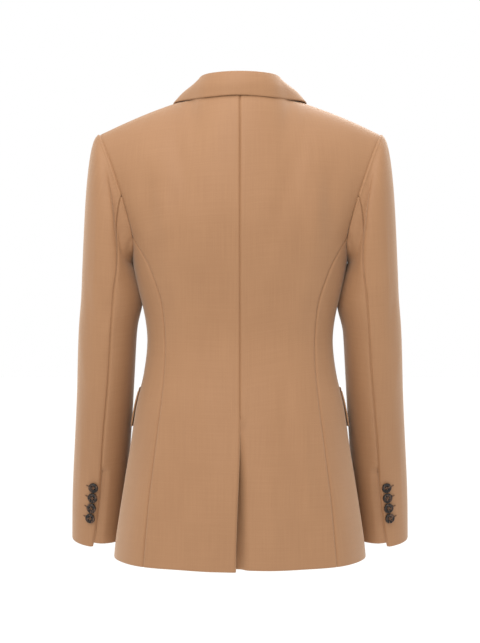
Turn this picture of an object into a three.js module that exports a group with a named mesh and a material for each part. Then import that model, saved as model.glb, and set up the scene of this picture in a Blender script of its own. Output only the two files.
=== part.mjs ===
/**
 * A single-breasted blazer of wool suiting, filled out as it is worn.
 *
 * Millimetres, +Z up. The front faces -Y and the wearer's left is +X. The origin is the middle of the
 * line over the shoulders at the base of the neck. Every cloth piece is a thin wall: a surface is
 * worked out from the tables of sizes below, and its inner face lies one cloth thickness inside it.
 * The left side is described, and the right side is its mirror image apart from the lap of the
 * fronts and of the back vent.
 */
import * as THREE from "three";

// ---- Cloth and seams -------------------------------------------------------------------------
const CLOTH = 1.8; // body and sleeve wall
const LAPEL_CLOTH = 1.6;
const COLLAR_CLOTH = 2.2;
const FLAP_CLOTH = 1.8;
const SEAM_GAP = 0.3;
const LAYER_GAP = 0.8; // between a piece and the panel that it lies on

// ---- Levels ----------------------------------------------------------------------------------
const BACK_YOKE_Z = -197; // the back leaves its rings here and runs up over the shoulder
const FRONT_YOKE_Z = -212; // the same for the front
const BREAK_Z = -325; // where the lapel starts to turn back
const VENT_TOP_Z = -452;
const VENT_LAP = 36; // how far the underlap runs behind the other panel
const VENT_OPENING = 6; // the upper edge's swing to its own side at the hem
const VENT_SINK = 3.4; // how deep the underlap lies
const FRONT_LAP = 18; // the front edges pass the centre front by this
const LAP_OUT = 3.3; // the right front stands out by this where it laps
const LAP_IN = 1.5; // and the left one in
const BUTTON_Z = -346;

// ---- Body rings: half width, depth of back and of front, from the hem up -----------------------
const BODY = [
  { z: -700, halfWidth: 185.5, back: 134, front: 130 },
  { z: -636, halfWidth: 180.3, back: 131, front: 128 },
  { z: -584, halfWidth: 172.9, back: 128, front: 125 },
  { z: -535, halfWidth: 165.2, back: 123, front: 121 },
  { z: -493, halfWidth: 158.2, back: 117, front: 117 },
  { z: -439, halfWidth: 150.4, back: 107, front: 112 },
  { z: -392, halfWidth: 139.6, back: 97, front: 108 },
  { z: -345, halfWidth: 134.7, back: 92, front: 107 },
  { z: -303, halfWidth: 139.4, back: 96, front: 114 },
  { z: -262, halfWidth: 148.3, back: 103, front: 124 },
  { z: -225, halfWidth: 156, back: 109, front: 126 },
  { z: -190, halfWidth: 163, back: 112, front: 122 },
];
const BACK_POWER = 2.35; // how square the rings are: 2 is an ellipse
const FRONT_POWER = 2.2;

// Soft vertical drapes of the skirt: angle round the body, height where each starts, depth, width.
const DRAPES = [
  { angle: 17, top: -400, depth: 2.6, width: 9 },
  { angle: 37, top: -420, depth: -2.2, width: 8 },
  { angle: 57, top: -380, depth: 2.4, width: 9 },
  { angle: 118, top: -470, depth: 2.4, width: 12 },
  { angle: 146, top: -500, depth: -1.8, width: 12 },
];

// Hem height round the body, by angle from the centre back.
const HEM = [
  { angle: -20, z: -664 },
  { angle: 0, z: -664 },
  { angle: 45, z: -662 },
  { angle: 90, z: -658 },
  { angle: 135, z: -664 },
  { angle: 180, z: -671 },
];
const FRONT_HEM = -671;
const HEM_CORNER = 50; // radius of the rounded front corner
const CUTAWAY = 22; // the front edges swing apart by this between the button and the hem

// The curved side-back seam, and the seam between side panel and front by angle.
const BACK_SEAM = [
  { z: -690, x: 137 },
  { z: -607, x: 130.6 },
  { z: -567, x: 127 },
  { z: -514, x: 120.9 },
  { z: -454, x: 114 },
  { z: -410, x: 109.6 },
  { z: -379, x: 107.4 },
  { z: -347, x: 106.7 },
  { z: -314, x: 108.5 },
  { z: -289, x: 112 },
  { z: -261, x: 121 },
  { z: -233, x: 132.5 },
  { z: -197, x: 153.5 },
];
const SIDE_SEAM = [
  { z: -690, angle: 112 },
  { z: -345, angle: 113 },
  { z: -212, angle: 104 },
];
const ARMPIT_DROP = 27; // how far the armhole runs below its two seams

// ---- Shoulder, neck and armhole ----------------------------------------------------------------
const SHOULDER = { x: 204.4, y: -8, z: -46.6 };
const NECK = { x: 74, y: -2, z: 6 };
const SHOULDER_SLOPE = 0.305; // at the neck; it steepens evenly to the end
const NECK_BACK = { y: 64, z: 10 };
const NECK_SHARE = 0.48; // share of the back's top edge that is neck

// How the back's lines rise from the last ring (lift, along the ring, outwards) and how they
// arrive at the neck and shoulder (x, y, z back from the edge).
const BACK_YOKE = [
  { u: 0, lift: 66, along: 0, flare: 0, x: 0, y: 33, z: -52 },
  { u: 0.13, lift: 66, along: 0, flare: 0, x: -4, y: 37, z: -50 },
  { u: 0.26, lift: 67, along: 0, flare: 0, x: -5, y: 44, z: -42 },
  { u: 0.39, lift: 67, along: 0, flare: 0, x: -1, y: 57, z: -33 },
  { u: 0.48, lift: 67, along: 0, flare: 0, x: 7, y: 71, z: -24 },
  { u: 0.61, lift: 65, along: 0, flare: 0, x: -3, y: 66, z: -10 },
  { u: 0.8, lift: 54, along: -4, flare: 2, x: -4, y: 58, z: -3 },
  { u: 1, lift: 37, along: -16, flare: 5, x: -4, y: 50, z: -2 },
];
const FRONT_YOKE = [
  { u: 0, lift: 45, along: 32, flare: 6, x: -4, y: -46, z: -2 },
  { u: 0.4, lift: 62, along: 6, flare: 1, x: -4, y: -54, z: -2 },
  { u: 0.8, lift: 70, along: -10, flare: 0, x: -6, y: -54, z: -6 },
  { u: 1, lift: 73, along: -16, flare: 0, x: -15, y: -60, z: -23 },
];

// ---- Lapel -------------------------------------------------------------------------------------
const LAPEL = [
  { z: -325, width: 5 },
  { z: -300, width: 25 },
  { z: -260, width: 47 },
  { z: -200, width: 66 },
  { z: -150, width: 75 },
  { z: -80, width: 80 },
  { z: -20, width: 82 },
];
const GORGE = { inner: 0.72, outer: 0.48 }; // yoke height of the gorge at the roll and at the tip
const NOTCH = 0.55; // place of the notch along the lapel's top edge
const COLLAR_TIP = { u: 0.6, v: 1.73 }; // on the front
const ROLL_OPENING = 3; // space inside the roll of the lapel
const FOLD_RADIUS = 3.4; // of the collar
const FALL_GAP = 2; // between the fall's edge and the cloth under it
const FALL_BULGE = 4;
const NECK_GAP = 1.2; // under the collar's foot

// Stations along the collar: place on the neck edge (1 is the shoulder seam, 2 the gorge), the fold,
// and where the fall's edge lies, on the back (side 1) or the front (side -1).
const COLLAR = [
  { at: 0, neck: 0, foldX: 0, foldY: 60, foldZ: 38.5, side: 1, u: 0, v: 1.95 },
  { at: 0.2, neck: 0.33, foldX: 31, foldY: 52, foldZ: 38, side: 1, u: 0.2, v: 1.945 },
  { at: 0.4, neck: 0.67, foldX: 53, foldY: 30, foldZ: 36.5, side: 1, u: 0.4, v: 1.945 },
  { at: 0.55, neck: 1, foldX: 61, foldY: -3, foldZ: 32, side: 1, u: 0.556, v: 2 },
  { at: 0.7, neck: 1.3, foldX: 62, foldY: -22, foldZ: 23, side: -1, u: 0.8, v: 1.93 },
  { at: 0.85, neck: 1.65, foldX: 61, foldY: -38, foldZ: 2, side: -1, u: 0.7, v: 1.82 },
  { at: 1, neck: 2, foldX: 60, foldY: -50, foldZ: -30, side: -1, u: 0.6, v: 1.73 },
];

// ---- Pockets and buttons -------------------------------------------------------------------------
const FLAP = { back: 84, front: 146, top: -419, height: 51, corner: 14 };
const FLAP_CORNER_SHARE = 0.09; // of the flap's length
const FLAP_GAP = { top: 0.9, bottom: 2 };
const JET = { height: 5, cloth: 1.2, gap: 0.6 };
const FRONT_BUTTON = { radius: 10.5, height: 3.6 };
const BUTTON_GAP = 0.5; // between a button's back and the cloth
const CUFF_BUTTON = { radius: 7.4, height: 3 };
const CUFF_BUTTON_Z = [-551, -566.3, -581.6, -596.9]; // heights of their sleeve rings
const CUFF_BUTTON_INSET = 13.5; // degrees round the sleeve from the vent's edge

// ---- Sleeve: outer edge, middle and inner edge, half depth, by height of the ring's middle --------
const SLEEVE = [
  { z: -650, outer: 250.4, x: 211, inner: 171.5, halfDepth: 44, y: -68 },
  { z: -581, outer: 248.4, x: 207.5, inner: 167, halfDepth: 46.5, y: -54 },
  { z: -490, outer: 243.2, x: 202, inner: 160.8, halfDepth: 50, y: -36 },
  { z: -422, outer: 239.2, x: 197.5, inner: 156.3, halfDepth: 53, y: -23 },
  { z: -376, outer: 237.1, x: 194.5, inner: 153.3, halfDepth: 54.5, y: -14.5 },
  { z: -329, outer: 234.6, x: 191.5, inner: 150, halfDepth: 56, y: -8 },
  { z: -285, outer: 231, x: 188.8, inner: 144.6, halfDepth: 58.5, y: -3 },
  { z: -250, outer: 229.6, x: 187, inner: 151.8, halfDepth: 60.5, y: -1 },
  { z: -232, outer: 228.8, x: 186, inner: 156.8, halfDepth: 61, y: 0 },
];
const CUFF_Z = -640;
const BICEP_Z = -232;

// How the sleeve leaves the armhole: place round the armhole, angle on the sleeve, first handle
// (x, y, z), and how far above the bicep ring the second handle stands.
const CAP = [
  { at: 0, angle: 0, x: 12.5, y: 0, z: 1.5, rise: 150 },
  { at: 0.09, angle: 52, x: 13, y: 3, z: -4, rise: 118 },
  { at: 0.18, angle: 113, x: 12, y: 5, z: -14, rise: 56 },
  { at: 0.36, angle: 141, x: 4, y: 2, z: -8, rise: 13 },
  { at: 0.5, angle: 180, x: 1.5, y: 0, z: -1, rise: 2 },
  { at: 0.64, angle: 221, x: 4, y: -2, z: -6, rise: 8 },
  { at: 0.82, angle: 258, x: 11, y: -6, z: -12, rise: 58 },
  { at: 0.91, angle: 307, x: 13, y: -3, z: -4, rise: 118 },
  { at: 1, angle: 360, x: 12.5, y: 0, z: 1.5, rise: 150 },
];
const BACK_SHARE = 0.36; // of the armhole loop lies on the back, the same share on the front
// Angle that the sleeve's back seam takes on its way down.
const ELBOW_SEAM = [
  { z: -650, angle: 77 },
  { z: -618, angle: 86 },
  { z: -558, angle: 93 },
  { z: -478, angle: 95 },
  { z: -381, angle: 99.5 },
  { z: -277, angle: 101 },
  { z: -232, angle: 113 },
];

// ---- Small helpers -------------------------------------------------------------------------------
const RADIANS = Math.PI / 180;
const NUDGE = 1e-3; // step in a parameter when a direction is measured
const { clamp, lerp, smoothstep, inverseLerp } = THREE.MathUtils;
/** The share of the way from a to b at value, held between 0 and 1. */
const share = (value, a, b) => clamp(inverseLerp(a, b, value), 0, 1);

/** n + 1 evenly spaced values from a to b. */
function steps(a, b, n) {
  return Array.from({ length: n + 1 }, (_, i) => lerp(a, b, i / n));
}

/** A smooth curve through one column of a table, whose rows run upwards in `by`. */
function column(rows, by, name) {
  const last = rows.length - 1;
  const slopes = rows.map((_, i) => {
    const low = rows[Math.max(i - 1, 0)];
    const high = rows[Math.min(i + 1, last)];
    return (high[name] - low[name]) / (high[by] - low[by]);
  });
  return (value) => {
    let i = 0;
    while (i < last - 1 && value > rows[i + 1][by]) i += 1;
    const span = rows[i + 1][by] - rows[i][by];
    const t = clamp((value - rows[i][by]) / span, 0, 1);
    const rise = t * t * (3 - 2 * t);
    const leave = t * (1 - t) * (1 - t) * span * slopes[i];
    const arrive = t * t * (t - 1) * span * slopes[i + 1];
    return lerp(rows[i][name], rows[i + 1][name], rise) + leave + arrive;
  };
}

/** All the columns of a table as smooth curves, by name. */
function columns(rows, by) {
  const names = Object.keys(rows[0]).filter((name) => name !== by);
  return Object.fromEntries(names.map((name) => [name, column(rows, by, name)]));
}

/** A point on the cubic through a and d with handles b and c. */
function bezier(a, b, c, d, t) {
  const s = 1 - t;
  return new THREE.Vector3()
    .addScaledVector(a, s * s * s)
    .addScaledVector(b, 3 * s * s * t)
    .addScaledVector(c, 3 * s * t * t)
    .addScaledVector(d, t * t * t);
}

// ---- Walls -----------------------------------------------------------------------------------------

/** The unit normal of surface(u, v), on the side that `facing` picks. */
function normalAt(surface, u, v, facing) {
  const along = surface(u + NUDGE, v).sub(surface(u - NUDGE, v));
  const up = surface(u, v + NUDGE).sub(surface(u, v - NUDGE));
  return along.cross(up).normalize().multiplyScalar(facing);
}

/** Moves a line of edge points half a seam gap towards the next line, square to the edge. */
function drawBack(edge, next) {
  const shifts = edge.map((point, i) => {
    const before = edge[Math.max(i - 1, 0)];
    const after = edge[Math.min(i + 1, edge.length - 1)];
    const tangent = after.clone().sub(before).normalize();
    const inward = next[i].clone().sub(point);
    return inward.addScaledVector(tangent, -inward.dot(tangent)).setLength(SEAM_GAP / 2);
  });
  edge.forEach((point, i) => point.add(shifts[i]));
}

/**
 * A closed wall whose outer face is surface(u, v) over the values us and vs, and whose inner face
 * lies `thickness` inside it. The edges named in `seams` draw back by half a seam gap, and
 * `shared(u, v)` may give an edge the wall direction that it shares with the next piece.
 */
function wall({ surface, us, vs, thickness, facing, seams = "", shared = () => null }) {
  const grid = us.map((u) => vs.map((v) => surface(u, v)));
  const normals = us.map((u) => vs.map((v) => shared(u, v) ?? normalAt(surface, u, v, facing)));
  const n = us.length - 1;
  const m = vs.length - 1;
  const row = (j) => grid.map((line) => line[j]);
  if (seams.includes("u0")) drawBack(grid[0], grid[1]);
  if (seams.includes("u1")) drawBack(grid[n], grid[n - 1]);
  if (seams.includes("v1")) drawBack(row(m), row(m - 1));
  const inside = grid.map((line, i) =>
    line.map((point, j) => point.clone().addScaledVector(normals[i][j], -thickness)),
  );
  return closedShell(grid, inside, facing);
}

/** The closed mesh between an outer and an inner grid of points. */
function closedShell(outer, inner, facing) {
  const n = outer.length;
  const m = outer[0].length;
  const index = (face, i, j) => (face * n + i) * m + j;
  const positions = [outer, inner].flatMap((grid) => grid.flatMap((line) => line.flatMap((p) => p.toArray())));
  const triangles = [];
  const quad = (a, b, c, d) => {
    if (facing > 0) triangles.push(a, b, c, a, c, d);
    else triangles.push(a, c, b, a, d, c);
  };
  for (let i = 0; i < n - 1; i += 1) {
    for (let j = 0; j < m - 1; j += 1) {
      quad(index(0, i, j), index(0, i + 1, j), index(0, i + 1, j + 1), index(0, i, j + 1));
      quad(index(1, i, j), index(1, i, j + 1), index(1, i + 1, j + 1), index(1, i + 1, j));
    }
    quad(index(1, i, 0), index(1, i + 1, 0), index(0, i + 1, 0), index(0, i, 0));
    quad(index(0, i, m - 1), index(0, i + 1, m - 1), index(1, i + 1, m - 1), index(1, i, m - 1));
  }
  for (let j = 0; j < m - 1; j += 1) {
    quad(index(0, 0, j), index(0, 0, j + 1), index(1, 0, j + 1), index(1, 0, j));
    quad(index(1, n - 1, j + 1), index(0, n - 1, j + 1), index(0, n - 1, j), index(1, n - 1, j));
  }
  const geometry = new THREE.BufferGeometry();
  geometry.setAttribute("position", new THREE.Float32BufferAttribute(positions, 3));
  geometry.setIndex(triangles);
  return geometry;
}

/** The same surface on the wearer's side that `side` names: 1 left, -1 right. */
function onSide(surface, side) {
  return (u, v) => {
    const point = surface(u, v);
    point.x *= side;
    return point;
  };
}

// ---- Body surface ------------------------------------------------------------------------------------
const body = columns(BODY, "z");
const hemAt = column(HEM, "angle", "z");
const backSeamX = column(BACK_SEAM, "z", "x");
const sideSeamAngle = column(SIDE_SEAM, "z", "angle");

/** How far the drapes push the skirt out at an angle in degrees and a height. */
function drape(angle, z) {
  let push = 0;
  for (const fold of DRAPES) {
    const offset = (angle - fold.angle) / fold.width;
    push += fold.depth * Math.exp(-offset * offset) * smoothstep(fold.top - z, 0, 200);
  }
  return push;
}

/** A point of the body's ring at height z, `angle` degrees round from the centre back, moved out. */
function ring(angle, z, out = 0) {
  const sine = Math.sin(angle * RADIANS);
  const cosine = Math.cos(angle * RADIANS);
  const depth = cosine > 0 ? body.back(z) : body.front(z);
  const power = cosine > 0 ? BACK_POWER : FRONT_POWER;
  const sum = Math.abs(sine / body.halfWidth(z)) ** power + Math.abs(cosine / depth) ** power;
  const radius = sum ** (-1 / power) + drape(angle, z) + out;
  return new THREE.Vector3(radius * sine, radius * cosine, z);
}

/** The angle at which the ring at height z passes x, on the back (sign 1) or the front (-1). */
function angleAtX(x, z, sign) {
  const power = sign > 0 ? BACK_POWER : FRONT_POWER;
  const depth = sign > 0 ? body.back(z) : body.front(z);
  const y = depth * (1 - Math.abs(x / body.halfWidth(z)) ** power) ** (1 / power);
  return Math.atan2(x, sign * y) / RADIANS + (x < 0 && sign < 0 ? 360 : 0);
}

const backSeamAngle = (z) => angleAtX(backSeamX(z), z, 1);

/** The cubic that one vertical line of a yoke follows from the last ring to the top edge. */
function yokeLine(angle, z, out, row, top, t) {
  const start = ring(angle, z, out);
  const up = ring(angle, z + 1, out).sub(start);
  const along = ring(angle + 0.5, z, out).sub(start).normalize();
  const outward = new THREE.Vector3(along.y, -along.x, 0).negate();
  const leave = start
    .clone()
    .addScaledVector(up, row.lift)
    .addScaledVector(along, row.along)
    .addScaledVector(outward, row.flare);
  const arrive = new THREE.Vector3(row.x, row.y, row.z).add(top);
  return bezier(start, leave, arrive, top, t);
}

/** The shoulder seam, from the neck (0) to the shoulder end (1). */
function shoulderSeam(share) {
  const run = SHOULDER.x - NECK.x;
  const steepening = NECK.z - SHOULDER.z - SHOULDER_SLOPE * run;
  const drop = SHOULDER_SLOPE * run * share + steepening * share * share;
  return new THREE.Vector3(NECK.x + run * share, lerp(NECK.y, SHOULDER.y, share), NECK.z - drop);
}

/** The back neck edge, from the centre back (0) to the neck end of the shoulder seam (1). */
function backNeck(share) {
  const angle = (share * Math.PI) / 2;
  const y = NECK.y + (NECK_BACK.y - NECK.y) * Math.cos(angle);
  return new THREE.Vector3(NECK.x * Math.sin(angle), y, lerp(NECK_BACK.z, NECK.z, share));
}

/** The direction square to the shoulder seam in the plane of the shoulders, left side. */
function ridgeNormal(share) {
  const tangent = shoulderSeam(share + NUDGE).sub(shoulderSeam(share - NUDGE));
  return new THREE.Vector3(-tangent.z, 0, tangent.x).normalize();
}

const backYoke = columns(BACK_YOKE, "u");
const frontYoke = columns(FRONT_YOKE, "u");

/** Every column of a yoke table at u. */
function rowAt(table, u) {
  return Object.fromEntries(Object.entries(table).map(([name, curve]) => [name, curve(u)]));
}

/**
 * The back, left side: u from the centre back (0) to the side-back seam (1), v from the hem (0)
 * to the last ring (1) and on to the neck and shoulder (2). `edge(z)` is where its centre edge
 * lies and `sink(x, z)` how far it lies under the other panel.
 */
function backSurface(edge, sink) {
  return (u, v) => {
    if (v > 1) {
      const top = u < NECK_SHARE ? backNeck(u / NECK_SHARE) : shoulderSeam((u - NECK_SHARE) / (1 - NECK_SHARE));
      return yokeLine(u * backSeamAngle(BACK_YOKE_Z), BACK_YOKE_Z, 0, rowAt(backYoke, u), top, v - 1);
    }
    const z = lerp(hemAt(u * backSeamAngle(HEM[1].z)), BACK_YOKE_Z, v);
    const first = angleAtX(edge(z), z, 1);
    const angle = lerp(first, backSeamAngle(z), u);
    return ring(angle, z, -sink(ring(angle, z).x, z));
  };
}

/** The height to which the side panel reaches at c, from its back seam (0) to its front seam (1). */
function underarmZ(c) {
  return lerp(BACK_YOKE_Z, FRONT_YOKE_Z, c) - ARMPIT_DROP * 4 * c * (1 - c) * (1 - 0.35 * (1 - c));
}

/** The side panel, left side: u from the side-back seam to the front-side seam, v hem to armhole. */
function sideSurface(u, v) {
  const hem = hemAt(lerp(backSeamAngle(HEM[1].z), sideSeamAngle(HEM[1].z), u));
  const z = lerp(hem, underarmZ(u), v);
  return ring(lerp(backSeamAngle(z), sideSeamAngle(z), u), z);
}

/** x of the front edge, and above the break of the roll line, at height z on the left side. */
function frontEdgeX(z) {
  const rollSlope = (NECK.x - 22 + FRONT_LAP) / (-22 - BREAK_Z);
  const roll = Math.max(z - BREAK_Z, 0) * rollSlope;
  const below = clamp((FRONT_HEM + HEM_CORNER - z) / HEM_CORNER, 0, 1);
  const corner = HEM_CORNER * (1 - Math.sqrt(1 - below * below));
  return -FRONT_LAP + roll + CUTAWAY * smoothstep(BUTTON_Z - z, 10, 330) + corner;
}

/** How far the fronts stand apart where they lap: the right one out, the left one in. */
function lapLift(x, z, side) {
  const near = smoothstep(-x, -58, -20) * smoothstep(-z, 190, 245);
  return near * (side < 0 ? LAP_OUT : -LAP_IN);
}

/**
 * A front, left side: u from the front-side seam (0) to the front edge or roll line (1), v from
 * the hem (0) to the last ring (1) and on to the shoulder seam (2).
 */
function frontSurface(side) {
  const edgeAngle = (z) => angleAtX(frontEdgeX(z), z, -1);
  return (u, v) => {
    if (v > 1) {
      const angle = lerp(sideSeamAngle(FRONT_YOKE_Z), edgeAngle(FRONT_YOKE_Z), u);
      const out = lapLift(ring(angle, FRONT_YOKE_Z).x, FRONT_YOKE_Z, side) * (2 - v);
      return yokeLine(angle, FRONT_YOKE_Z, out, rowAt(frontYoke, u), shoulderSeam(1 - u), v - 1);
    }
    const hem = hemAt(lerp(sideSeamAngle(HEM[1].z), 180, u));
    const z = lerp(hem, FRONT_YOKE_Z, v);
    const angle = lerp(sideSeamAngle(z), edgeAngle(z), u);
    return ring(angle, z, lapLift(ring(angle, z).x, z, side));
  };
}

// ---- Sleeve surface -----------------------------------------------------------------------------------
const sleeve = columns(SLEEVE, "z");
const cap = columns(CAP, "at");
const elbowAngle = column(ELBOW_SEAM, "z", "angle");
const ELBOW_AT = BACK_SHARE / 2; // place of the back seam round the armhole
const FRONT_SEAM_AT = 0.73;
const CUFF_VENT_Z = -528;
const CUFF_LAP = { width: 0.045, reach: 0.06, sink: 3.2 }; // under the vent, round the armhole

/** A point of the armhole, left side, by its place round it: 0 shoulder, back, armpit, front, 1. */
function armhole(at, back, front) {
  const place = (at + 1) % 1;
  if (place < BACK_SHARE) return back(1, 2 - place / BACK_SHARE);
  if (place > 1 - BACK_SHARE) return front(0, 1 + (place - 1 + BACK_SHARE) / BACK_SHARE);
  return sideSurface((place - BACK_SHARE) / (1 - 2 * BACK_SHARE), 1);
}

/** A point of the sleeve's ring at height z, at an angle from its outer side, moved out by `out`. */
function sleevePoint(degrees, z, out = 0) {
  const angle = degrees * RADIANS;
  const outward = Math.cos(angle);
  const reach = Math.abs((outward > 0 ? sleeve.outer(z) : sleeve.inner(z)) - sleeve.x(z));
  const leanX = sleeve.x(z) - sleeve.x(z - 1);
  const leanY = sleeve.y(z) - sleeve.y(z - 1);
  const dx = (reach + out) * outward;
  const dy = (sleeve.halfDepth(z) + out) * Math.sin(angle);
  return new THREE.Vector3(sleeve.x(z) + dx, sleeve.y(z) + dy, z - leanX * dx - leanY * dy);
}

/** The angle on the sleeve's ring at height z of the line that starts at `place` on the armhole. */
function sleeveAngle(place, z) {
  const twist = place < BACK_SHARE ? Math.sin((Math.PI * place) / BACK_SHARE) ** 2 : 0;
  return cap.angle(place) + twist * (elbowAngle(z) - elbowAngle(BICEP_Z));
}

/** The sleeve, left side: u the place round the armhole, v cuff (0), bicep (1), armhole (2). */
function sleeveSurface(back, front) {
  return (u, v, out = 0) => {
    const place = (u + 1) % 1;
    const ringAt = (z) => sleevePoint(sleeveAngle(place, z), z, out);
    if (v <= 1) return ringAt(lerp(CUFF_Z, BICEP_Z, v));
    const bicep = ringAt(BICEP_Z);
    const slope = bicep.clone().sub(ringAt(BICEP_Z - 4)).normalize();
    const start = armhole(place, back, front);
    const leave = new THREE.Vector3(cap.x(place), cap.y(place), cap.z(place)).add(start);
    return bezier(bicep, bicep.clone().addScaledVector(slope, cap.rise(place)), leave, start, v - 1);
  };
}

/** The under sleeve: the same surface, whose back edge runs on under the top sleeve at the vent. */
function underSleeveSurface(line) {
  return (u, v) => {
    const z = lerp(CUFF_Z, BICEP_Z, v);
    const sunk = smoothstep(CUFF_VENT_Z - z, -10, 0);
    const open = smoothstep(CUFF_VENT_Z - z, 0, 16);
    const near = clamp(1 - (u - ELBOW_AT) / CUFF_LAP.reach, 0, 1);
    return line(u - CUFF_LAP.width * near * near * open, v, -CUFF_LAP.sink * smoothstep(near, 0, 0.8) * sunk);
  };
}

// ---- Lapel and collar ---------------------------------------------------------------------------------
const lapelWidth = column(LAPEL, "z", "width");
const ROLL_SHARE = 0.3; // share of the lapel's width lines that goes round the roll
const COLLAR_ROLL = 4 / 6; // the same for the collar, up to its outer shoulder
const COLLAR_NOTCH = 5 / 6; // where the collar's end line turns up at the notch

/** The space inside the roll, which opens above the place where the fronts cross. */
const rollOpening = (z) => lerp(LAYER_GAP, ROLL_OPENING, smoothstep(z, -248, -170));
/** How far the turned-back cloth lies off the front, across the lapel. */
const layGap = (opening, across) => lerp(opening, LAYER_GAP, smoothstep(across, 0, 0.4));

/** The way the rolled cloth faces on the roll of the front's edge: turn 0 inwards, 1 outwards. */
function rollNormal(front, v, turn) {
  const normal = normalAt(front, 1, v, -1);
  const tangent = front(1, v + NUDGE).sub(front(1, v - NUDGE)).normalize();
  const past = normal.clone().cross(tangent).multiplyScalar(Math.sin(turn * Math.PI));
  return normal.multiplyScalar(-Math.cos(turn * Math.PI)).add(past);
}

/** A line round the roll of the front's edge: turn 0 inside the edge, 1 lying on the front. */
function rollPoint(front, v, turn, cloth, opening) {
  return front(1, v)
    .addScaledVector(normalAt(front, 1, v, -1), opening / 2)
    .addScaledVector(rollNormal(front, v, turn), cloth + opening / 2);
}

/** u on the front of a place across the lapel, from the roll (0) to the outer edge (1). */
function lapelAcross(front) {
  const lengths = steps(0.5, 2, 10).map((v) => {
    const line = steps(0, 1, 10).map((u) => front(u, v));
    return { v, length: line.slice(1).reduce((sum, point, i) => sum + point.distanceTo(line[i]), 0) };
  });
  const rowLength = column(lengths, "v", "length");
  return (across, v) => 1 - (across * lapelWidth(front(1, v).z)) / rowLength(v);
}

/**
 * The lapel's face, left side: r from the inner side of the front's edge, round the roll and
 * across to the outer edge, q from the break (0) to the gorge (1).
 */
function lapelSurface(front) {
  const hem = front(1, 0).z;
  const breakV = (BREAK_Z - hem) / (FRONT_YOKE_Z - hem);
  const uAt = lapelAcross(front);
  return (r, q) => {
    const across = Math.max(r - ROLL_SHARE, 0) / (1 - ROLL_SHARE);
    const v = lerp(breakV, 1 + lerp(GORGE.inner, GORGE.outer, across), q);
    const opening = rollOpening(front(1, v).z);
    if (r < ROLL_SHARE) return rollPoint(front, v, r / ROLL_SHARE, LAPEL_CLOTH, opening);
    const u = uAt(across, v);
    const lift = layGap(opening, across) + LAPEL_CLOTH;
    return front(u, v).addScaledVector(normalAt(front, u, v, -1), lift);
  };
}

/** The collar's line along the gorge and up its front edge: r from the roll to the collar's tip. */
function collarEnd(front) {
  const uAt = lapelAcross(front);
  const notchV = 1 + lerp(GORGE.inner, GORGE.outer, NOTCH);
  const notchU = uAt(NOTCH, notchV);
  return (r) => {
    const v = 1 + GORGE.inner;
    if (r < COLLAR_ROLL) return rollPoint(front, v, r / COLLAR_ROLL, COLLAR_CLOTH, ROLL_OPENING);
    const along = Math.min((r - COLLAR_ROLL) / (COLLAR_NOTCH - COLLAR_ROLL), 1);
    const rise = Math.max((r - COLLAR_NOTCH) / (1 - COLLAR_NOTCH), 0);
    const gorgeV = 1 + lerp(GORGE.inner, GORGE.outer, NOTCH * along);
    const lineV = lerp(gorgeV, COLLAR_TIP.v, rise);
    const lineU = lerp(uAt(NOTCH * along, gorgeV), COLLAR_TIP.u, rise);
    const lift = layGap(ROLL_OPENING, NOTCH * along) + COLLAR_CLOTH;
    return front(lineU, lineV).addScaledVector(normalAt(front, lineU, lineV, -1), lift);
  };
}

/** The way both cloths face along the gorge: `turn` goes round the roll and `across` on from there. */
function gorgeNormal(front, turn, across) {
  const v = 1 + lerp(GORGE.inner, GORGE.outer, Math.max(across, 0));
  return turn < 1 ? rollNormal(front, v, turn) : normalAt(front, lapelAcross(front)(across, v), v, -1);
}

/** The neck edge at a place from the centre back (0) over the shoulder seam (1) to the gorge (2). */
function neckEdge(back, front, place) {
  if (place < 1) {
    const u = place * NECK_SHARE;
    const past = back(u, 2).sub(back(u, 1.98)).normalize();
    return { point: backNeck(place), normal: normalAt(back, u, 1.98, -1), past };
  }
  const v = lerp(2, 1 + GORGE.inner, place - 1);
  const normal = normalAt(front, 1, Math.min(v, 1.98), -1);
  const tangent = front(1, v + NUDGE).sub(front(1, v - NUDGE)).normalize();
  return { point: front(1, v), normal, past: normal.clone().cross(tangent) };
}

/** The collar's left half: u from the centre back (0) to the gorge (1), r neck edge to fall edge. */
function collarSurface(back, front) {
  const stations = COLLAR.map(({ side, u, v, ...row }) => {
    const surface = side > 0 ? back : front;
    const lift = normalAt(surface, u, Math.min(v, 1.98), -1).multiplyScalar(FALL_GAP + COLLAR_CLOTH);
    const edge = surface(u, v).add(lift);
    return { ...row, edgeX: edge.x, edgeY: edge.y, edgeZ: edge.z };
  });
  const curves = columns(stations, "at");
  const end = collarEnd(front);
  const section = (u, r) => {
    const row = rowAt(curves, u);
    const { point, normal, past } = neckEdge(back, front, row.neck);
    const base = point.addScaledVector(normal, -CLOTH).addScaledVector(past, NECK_GAP);
    const fold = new THREE.Vector3(row.foldX, row.foldY, row.foldZ);
    const edge = new THREE.Vector3(row.edgeX, row.edgeY, row.edgeZ);
    const out = new THREE.Vector3(edge.x - base.x, edge.y - base.y, 0).normalize();
    const inner = fold.clone().addScaledVector(out, -FOLD_RADIUS);
    const outer = fold.clone().addScaledVector(out, FOLD_RADIUS);
    inner.z -= FOLD_RADIUS;
    outer.z -= FOLD_RADIUS;
    const stand = base.clone().lerp(inner, 0.5);
    const fall = outer.clone().lerp(edge, 0.5).addScaledVector(out, FALL_BULGE / 2);
    fall.z += FALL_BULGE / 2;
    return new THREE.CatmullRomCurve3([base, stand, inner, fold, outer, fall, edge]).getPoint(clamp(r, 0, 1));
  };
  return (u, r) => {
    const left = Math.abs(u);
    const point = section(left, r).lerp(end(r), smoothstep(left, 0.72, 1));
    point.x *= u < 0 ? -1 : 1;
    return point;
  };
}

// ---- Buttons --------------------------------------------------------------------------------------------

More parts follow.
